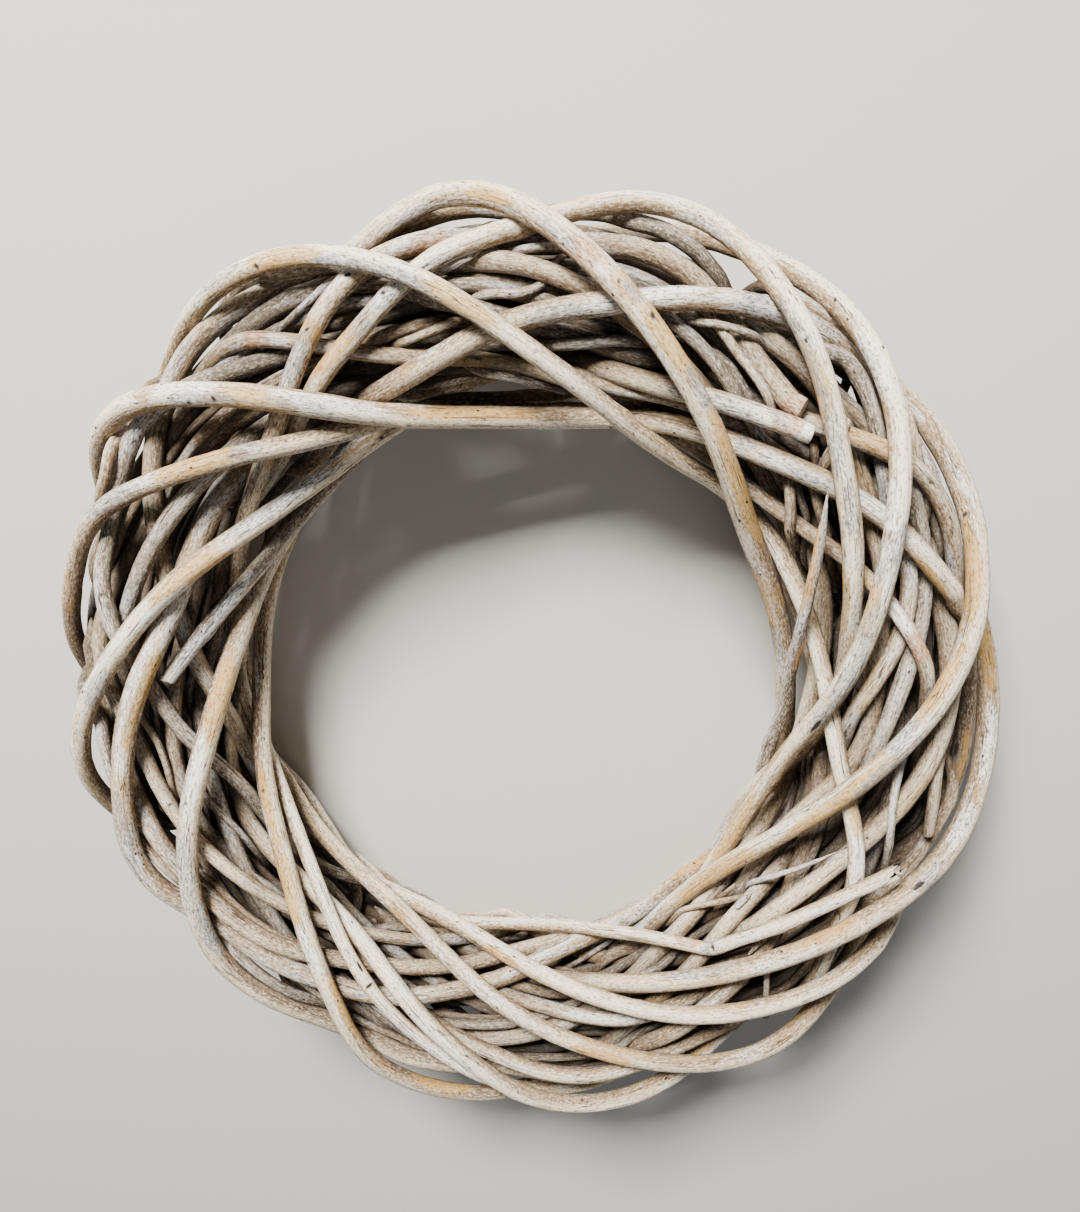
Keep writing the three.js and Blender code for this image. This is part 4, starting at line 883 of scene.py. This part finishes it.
def add(tree, kind, inputs, output=0, **settings):
    """Add a node, set its properties and feed its inputs, each with a value or an output. Give an output."""
    node = tree.nodes.new(f"ShaderNode{kind}")
    for key, value in settings.items():
        setattr(node, key, value)
    for socket, value in inputs.items():
        if isinstance(value, bpy.types.NodeSocket):
            tree.links.new(value, node.inputs[socket])
        else:
            node.inputs[socket].default_value = value
    return node.outputs[output] if node.outputs else None


def weighted_sum(tree, start, *terms):
    """The start and every value times its weight, added up."""
    total = start
    for value, weight in terms:
        total = add(tree, "Math", {0: value, 1: weight, 2: total}, operation="MULTIPLY_ADD")
    return total


# Noises of the wood: how wide and how long their spots are on a rod, their detail and their roughness.
NOISES = {
    "grain": (1.0 * MM, 26 * MM, 6.0, 0.7),
    "fleck": (0.8 * MM, 2.2 * MM, 4.0, 0.75),
    "streak": (3.2 * MM, 60 * MM, 4.0, 0.6),
    "patch": (11 * MM, 42 * MM, 3.0, 0.55),
    "warm_patch": (15.4 * MM, 63 * MM, 4.0, 0.6),
    "cold_patch": (7.7 * MM, 46.2 * MM, 4.0, 0.6),
    "crack": (3.0 * MM, 80 * MM, 2.0, 0.5),
}

# Soft steps: the noise or mark that each reads, between which two values it turns, and what it gives there.
STEPS = {
    "fuller_wood": ("streak", 0.36, 0.64, 0.0, 1.0),
    "chalk": ("cold_patch", 0.55, 0.61, 0.0, 0.7),
    "chalk_flecks": ("fleck", 0.40, 0.58, 0.2, 0.8),
    "tannin": ("warm_patch", 0.59, 0.66, 0.0, 0.6),
    "tannin_flecks": ("fleck", 0.62, 0.42, 0.8, 1.0),
    "weather": ("cold_patch", 0.56, 0.66, 0.0, 0.8),
    "weather_streaks": ("streak", 0.48, 0.60, 0.0, 1.0),
    "weather_flecks": ("fleck", 0.60, 0.42, 0.3, 0.75),
    "dust_flecks": ("fleck", 0.51, 0.61, 0.0, 1.0),
    "dark_flecks": ("fleck", 0.46, 0.36, 0.0, 0.85),
    "dark_grain": ("grain", 0.44, 0.35, 0.0, 0.75),
    "cracked": ("patch", 0.47, 0.56, 0.0, 1.0),
    "scar": ("knot", 0.25, 0.8, 0.0, 1.0),
}

# How ragged the streaks and the grain make the worn edge of each kind of mark, and the values between
# which that edge turns and the mark itself ends.
WORN_EDGES = {"white": 2.6, "ochre": 2.6, "pink": 1.0, "grey": 2.6, "bark": 2.0}
EDGE_TURNS = (0.30, 0.60)
MARK_ENDS = (0.05, 0.3)

# How much wash it takes to cover the wood, how thin drying fissures are, and the specks' spacing, with
# the draw above which a cell has one, its size in shares of the spacing and how fleck frets its rim.
WASH_COVERS = (0.55, 1.25)
FISSURE_EDGE = (0.012, 0.003)
SPECK_SPACING = 4.5 * MM
SPECK_LENGTHENING = 1.6
SPECK_DRAWN = (0.55, 1.0)
SPECK_SIZE = (0.0, 0.16)
SPECK_LEAST = 0.02
SPECK_FRET = 0.10

# Sockets of a Map Range node, and of a Mix node of colours: share, colour under, colour over, result.
RANGE = ("Value", "From Min", "From Max", "To Min", "To Max")
SHARE, UNDER, OVER, MIXED = 0, 6, 7, 2
WILLOW_IOR = 1.46


def stripped_willow(name, wash, wood, bare, dark, roughness):
    """Willow rod stripped of its bark and brushed with a thin chalky wash.

    The wash sits in lengthwise streaks, thick on the outer faces and thin towards the inside, so the
    warm wood shows through. Its brightness on the outer faces is also a painted highlight, and the browner
    sides are painted shade. Wood deep in the ring gets a dark brown painted shade. Ochre tannin patches,
    blue-grey weathered streaks, knots, fine dark specks and drying fissures break it up. Chalk and dry
    wood are matt, so it has hardly any gloss.
    """
    material = new_material(name)
    tree = material.node_tree
    node = partial(add, tree)
    smooth = {"interpolation_type": "SMOOTHSTEP"}
    space = node("Attribute", {}, "Vector", attribute_name="rod_space")
    value = {key: node("Attribute", {}, "Fac", attribute_name=key) for key in (*CHANNELS, "wash", "deep")}
    for key, (width, length, detail, rough) in NOISES.items():
        scaled = node("VectorMath", {0: space, 1: (1 / width, 1 / width, 1 / length)}, operation="MULTIPLY")
        value[key] = node("TexNoise", {"Vector": scaled, "Scale": 1.0, "Detail": detail, "Roughness": rough})
    for key, (source, *limits) in STEPS.items():
        value[key] = node("MapRange", dict(zip(RANGE, (value[source], *limits))), **smooth)

    # Marks seen in the photo have the worn, streaky edge of a rubbed patch.
    worn = {}
    for key, ragged in WORN_EDGES.items():
        edge = weighted_sum(tree, -0.6 * ragged, (value["streak"], 0.7 * ragged),
                            (value["grain"], 0.5 * ragged), (value[key], 1.0))
        worn_edge = node("MapRange", dict(zip(RANGE, (edge, *EDGE_TURNS))), **smooth)
        inside = node("MapRange", dict(zip(RANGE, (value[key], *MARK_ENDS))), **smooth)
        worn[key] = node("Math", {0: worn_edge, 1: inside}, operation="MULTIPLY")

    weathered = node("Math", {0: value["weather"], 1: value["weather_streaks"]}, operation="MULTIPLY")
    patches = (("white", value["chalk"], value["chalk_flecks"]),
               ("ochre", value["tannin"], value["tannin_flecks"]),
               ("grey", weathered, value["weather_flecks"]))
    for key, patch, flecks in patches:
        either = node("Math", {0: worn[key], 1: patch}, operation="MAXIMUM")
        worn[key] = node("Math", {0: either, 1: flecks}, operation="MULTIPLY")

    # How far the wash covers the wood: whitewash, and also a painted highlight where faces turn out of the
    # ring.
    caught = weighted_sum(tree, 0.0, (value["wash"], 0.80), (value["patch"], 0.45), (value["fleck"], 0.45),
                          (value["tone"], -0.30))
    washed_and_highlit = node("MapRange", dict(zip(RANGE, (caught, *WASH_COVERS))), **smooth)
    less_on_ochre = weighted_sum(tree, 0.5, (worn["ochre"], -0.4))
    dusted = node("Math", {0: value["dust_flecks"], 1: less_on_ochre}, operation="MULTIPLY")

    signed_off_line = node("Math", {0: value["crack"], 1: 0.5}, operation="SUBTRACT")
    off_line = node("Math", {0: signed_off_line}, operation="ABSOLUTE")
    crack_line = node("MapRange", dict(zip(RANGE, (off_line, *FISSURE_EDGE))), **smooth)
    fissure = node("Math", {0: crack_line, 1: value["cracked"]}, operation="MULTIPLY")

    across, along = 1 / SPECK_SPACING, 1 / (SPECK_SPACING * SPECK_LENGTHENING)
    speck_space = node("VectorMath", {0: space, 1: (across, across, along)}, operation="MULTIPLY")
    from_speck = node("TexVoronoi", {"Vector": speck_space, "Scale": 1.0}, "Distance")
    speck_draw = node("SeparateColor", {0: from_speck.node.outputs["Color"]})
    speck_size = node("MapRange", dict(zip(RANGE, (speck_draw, *SPECK_DRAWN, *SPECK_SIZE))), **smooth)
    from_rim = weighted_sum(tree, 0.0, (from_speck, 1.0), (value["fleck"], SPECK_FRET), (speck_size, -1.0))
    speck = node("Math", {0: from_rim, 1: SPECK_LEAST}, operation="LESS_THAN")

    # Each layer's share, its strength and its colour, from the bare wood up. The wash layer is also a
    # painted highlight on faces turned out, and the last layer, on what lies deep, is a dark brown painted
    # shade.
    layers = ((value["fuller_wood"], 1.0, wood), (washed_and_highlit, 1.0, wash), (worn["white"], 1.0, "#eeefee"),
              (worn["ochre"], 0.85, "#c1964f"), (worn["pink"], 0.7, "#b27f5c"),
              (worn["grey"], 1.0, "#7f878d"), (dusted, 1.0, "#fbf1df"),
              (value["dark_flecks"], 1.0, dark), (value["dark_grain"], 1.0, dark),
              (fissure, 0.9, "#3f2f20"), (speck, 0.95, "#33261a"), (value["scar"], 1.0, "#2c2118"),
              (worn["bark"], 1.0, "#2a211b"), (value["deep"], 0.85, "#2f2419"))
    colour = linear(bare)
    for share, strength, hex_colour in layers:
        cover = node("Math", {0: share, 1: strength}, operation="MULTIPLY")
        colour = node("Mix", {SHARE: cover, UNDER: colour, OVER: linear(hex_colour)}, MIXED,
                      data_type="RGBA")

    height = weighted_sum(tree, 0.0, (value["grain"], 0.6), (value["fleck"], 0.4), (fissure, -0.5),
                          (speck, -0.4))
    bump = node("Bump", {"Strength": 0.8, "Distance": 0.5 * MM, "Height": height})
    gloss = (0.3, 0.7, roughness - 0.06, roughness + 0.08)
    dryness = node("MapRange", dict(zip(RANGE, (value["patch"], *gloss))), **smooth)
    shader = node("BsdfPrincipled", {"Base Color": colour, "Roughness": dryness, "IOR": WILLOW_IOR,
                                     "Normal": bump})
    node("OutputMaterial", {"Surface": shader})
    return material


FIBRE_WIDTH = 0.9 * MM
PITH_RADIUS = 0.5 * MM
PITH_EDGE = 1.3 * MM


def cut_willow():
    """Sawn or clipped end of a willow rod: pale fibrous wood round a dark soft pith, matt as dry wood is."""
    material = new_material("cut_willow")
    node = partial(add, material.node_tree)
    space = node("Attribute", {}, "Vector", attribute_name="rod_space")
    flat = node("VectorMath", {0: space, 1: (1.0, 1.0, 0.0)}, operation="MULTIPLY")
    from_pith = node("VectorMath", {0: flat}, "Value", operation="LENGTH")
    fibre = node("TexNoise", {"Vector": flat, "Scale": 1 / FIBRE_WIDTH, "Detail": 4.0})
    off_pith = node("MapRange", dict(zip(RANGE, (from_pith, PITH_RADIUS, PITH_EDGE))))
    dark_wood, pale_wood, soft_pith = linear("#9a7f5c"), linear("#dccbb0"), linear("#6d543a")
    wood = node("Mix", {SHARE: fibre, UNDER: dark_wood, OVER: pale_wood}, MIXED, data_type="RGBA")
    colour = node("Mix", {SHARE: off_pith, UNDER: soft_pith, OVER: wood}, MIXED, data_type="RGBA")
    bump = node("Bump", {"Strength": 0.7, "Distance": 0.4 * MM, "Height": fibre})
    shader = node("BsdfPrincipled", {"Base Color": colour, "Roughness": 0.85, "IOR": WILLOW_IOR,
                                     "Normal": bump})
    node("OutputMaterial", {"Surface": shader})
    return material


FLOOR_SIZE = 6.0


def pale_floor():
    """A matt, pale painted studio floor."""
    material = new_material("pale_floor")
    node = partial(add, material.node_tree)
    shader = node("BsdfPrincipled", {"Base Color": linear("#c2bfb9"), "Roughness": 0.9})
    node("OutputMaterial", {"Surface": shader})
    bpy.ops.mesh.primitive_plane_add(size=FLOOR_SIZE)
    floor = bpy.context.object
    floor.name = "floor"
    floor.data.materials.append(material)


def set_camera():
    """Camera at the photo's angle: above the ring, a little up from its middle and tipped down it."""
    data = bpy.data.cameras.new("camera")
    data.sensor_width = SENSOR
    data.lens = FOCAL_LENGTH_PX / FRAME_HEIGHT_PX * SENSOR
    data.shift_y = (LENS_AXIS_PX[1] - FRAME_HEIGHT_PX / 2) / FRAME_HEIGHT_PX
    camera = bpy.data.objects.new("camera", data)
    camera.matrix_world = Matrix.Translation(CAMERA_PLACE) @ camera_turn().to_4x4()
    bpy.context.collection.objects.link(camera)
    bpy.context.scene.camera = camera


def area_light(name, place, size, watts, colour):
    """A soft square light that faces the middle of the wreath."""
    data = bpy.data.lights.new(name, "AREA")
    data.size = size
    data.energy = watts
    data.color = colour
    light = bpy.data.objects.new(name, data)
    light.location = place
    light.rotation_euler = (Vector(place) - Vector(RING_CENTRE)).to_track_quat("Z", "Y").to_euler()
    bpy.context.collection.objects.link(light)


SURROUND_COLOUR = (0.92, 0.95, 1.0, 1.0)
SURROUND_STRENGTH = 0.10


def light_the_scene():
    """Soft daylight from the top of the picture, with a weak fill and a dim pale surround."""
    area_light("key", place=(-0.35, 1.30, 1.30), size=0.55, watts=134, colour=(1.0, 0.975, 0.935))
    area_light("fill", place=(0.4, -0.5, 1.7), size=1.0, watts=4, colour=(0.95, 0.97, 1.0))
    world = bpy.data.worlds.new("surround")
    world.use_nodes = True
    background = world.node_tree.nodes["Background"]
    background.inputs["Color"].default_value = SURROUND_COLOUR
    background.inputs["Strength"].default_value = SURROUND_STRENGTH
    bpy.context.scene.world = world


set_camera()
light_the_scene()
pale_floor()

SLOTS = {entry["node"]: entry["material_slot"] for entry in frame["record"]["subparts"]}
# Colours of the wash, which is also the painted highlight on faces turned out, the wood, the barer wood
# and the dark flecks on each kind of rod, and its roughness.
WILLOWS = {
    "pale_willow": ("#f2e4c9", "#b29772", "#897052", "#554430", 0.78),
    "tan_willow": ("#e0cfb1", "#a08463", "#796149", "#493927", 0.78),
    "grey_willow": ("#d3cabc", "#8e7d6a", "#685c4d", "#3c3227", 0.8),
}
FINISHES = {name: stripped_willow(name, *look) for name, look in WILLOWS.items()}
CUT = cut_willow()

frame_rods = [read_rod(name).resampled(SETTLE_STEP) for name in sorted(SLOTS)]
frame_rods = [on_seen_course(rod) if rod.name in SEEN_COURSE else rod for rod in frame_rods]
frame_rods = [cut_back(rod) for rod in frame_rods]
twigs = [rod.resampled(SETTLE_STEP) for rod in twigs_seen() + inner_rods()]
frame_rods, twigs = ([run_on(run_on(rod, 0), 1).resampled(SETTLE_STEP) for rod in rods]
                     for rods in (frame_rods, twigs))
settled = settle(frame_rods + twigs)
settled = [rod.resampled(RING_STEP if rod.name in SLOTS else TWIG_STEP) for rod in settled]
settled = [deep_part(rod) if rod.name.startswith("inner_") else rod for rod in settled]
settled = [rod for rod in settled if rod]
marks_found = find_marks(settled)
groups = defaultdict(list)
FIRST_SEED = 1000
for number, rod in enumerate(settled):
    draw = random.Random(FIRST_SEED + number)
    if rod.name not in SLOTS:
        part = rod_mesh(rod, TWIG_SIDES, draw, TWIG_KNOTS_EVERY, marks_found[number])
        groups[("tan_willow", "grey_willow")[number % 2]].append(part)
        continue
    slot = SLOTS[rod.name]
    parts = [rod_mesh(rod, SIDES, draw, KNOTS_EVERY, marks_found[number])]
    if rod.name in FRAYED:
        parts += splinters(rod, draw)
    piece = make_piece(f"willow_{rod.name}", parts, [FINISHES[slot], CUT])
    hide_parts(rod.name)
for slot, parts in sorted(groups.items()):
    make_piece(f"thin_inner_rods_{slot}", parts, [FINISHES[slot], CUT])
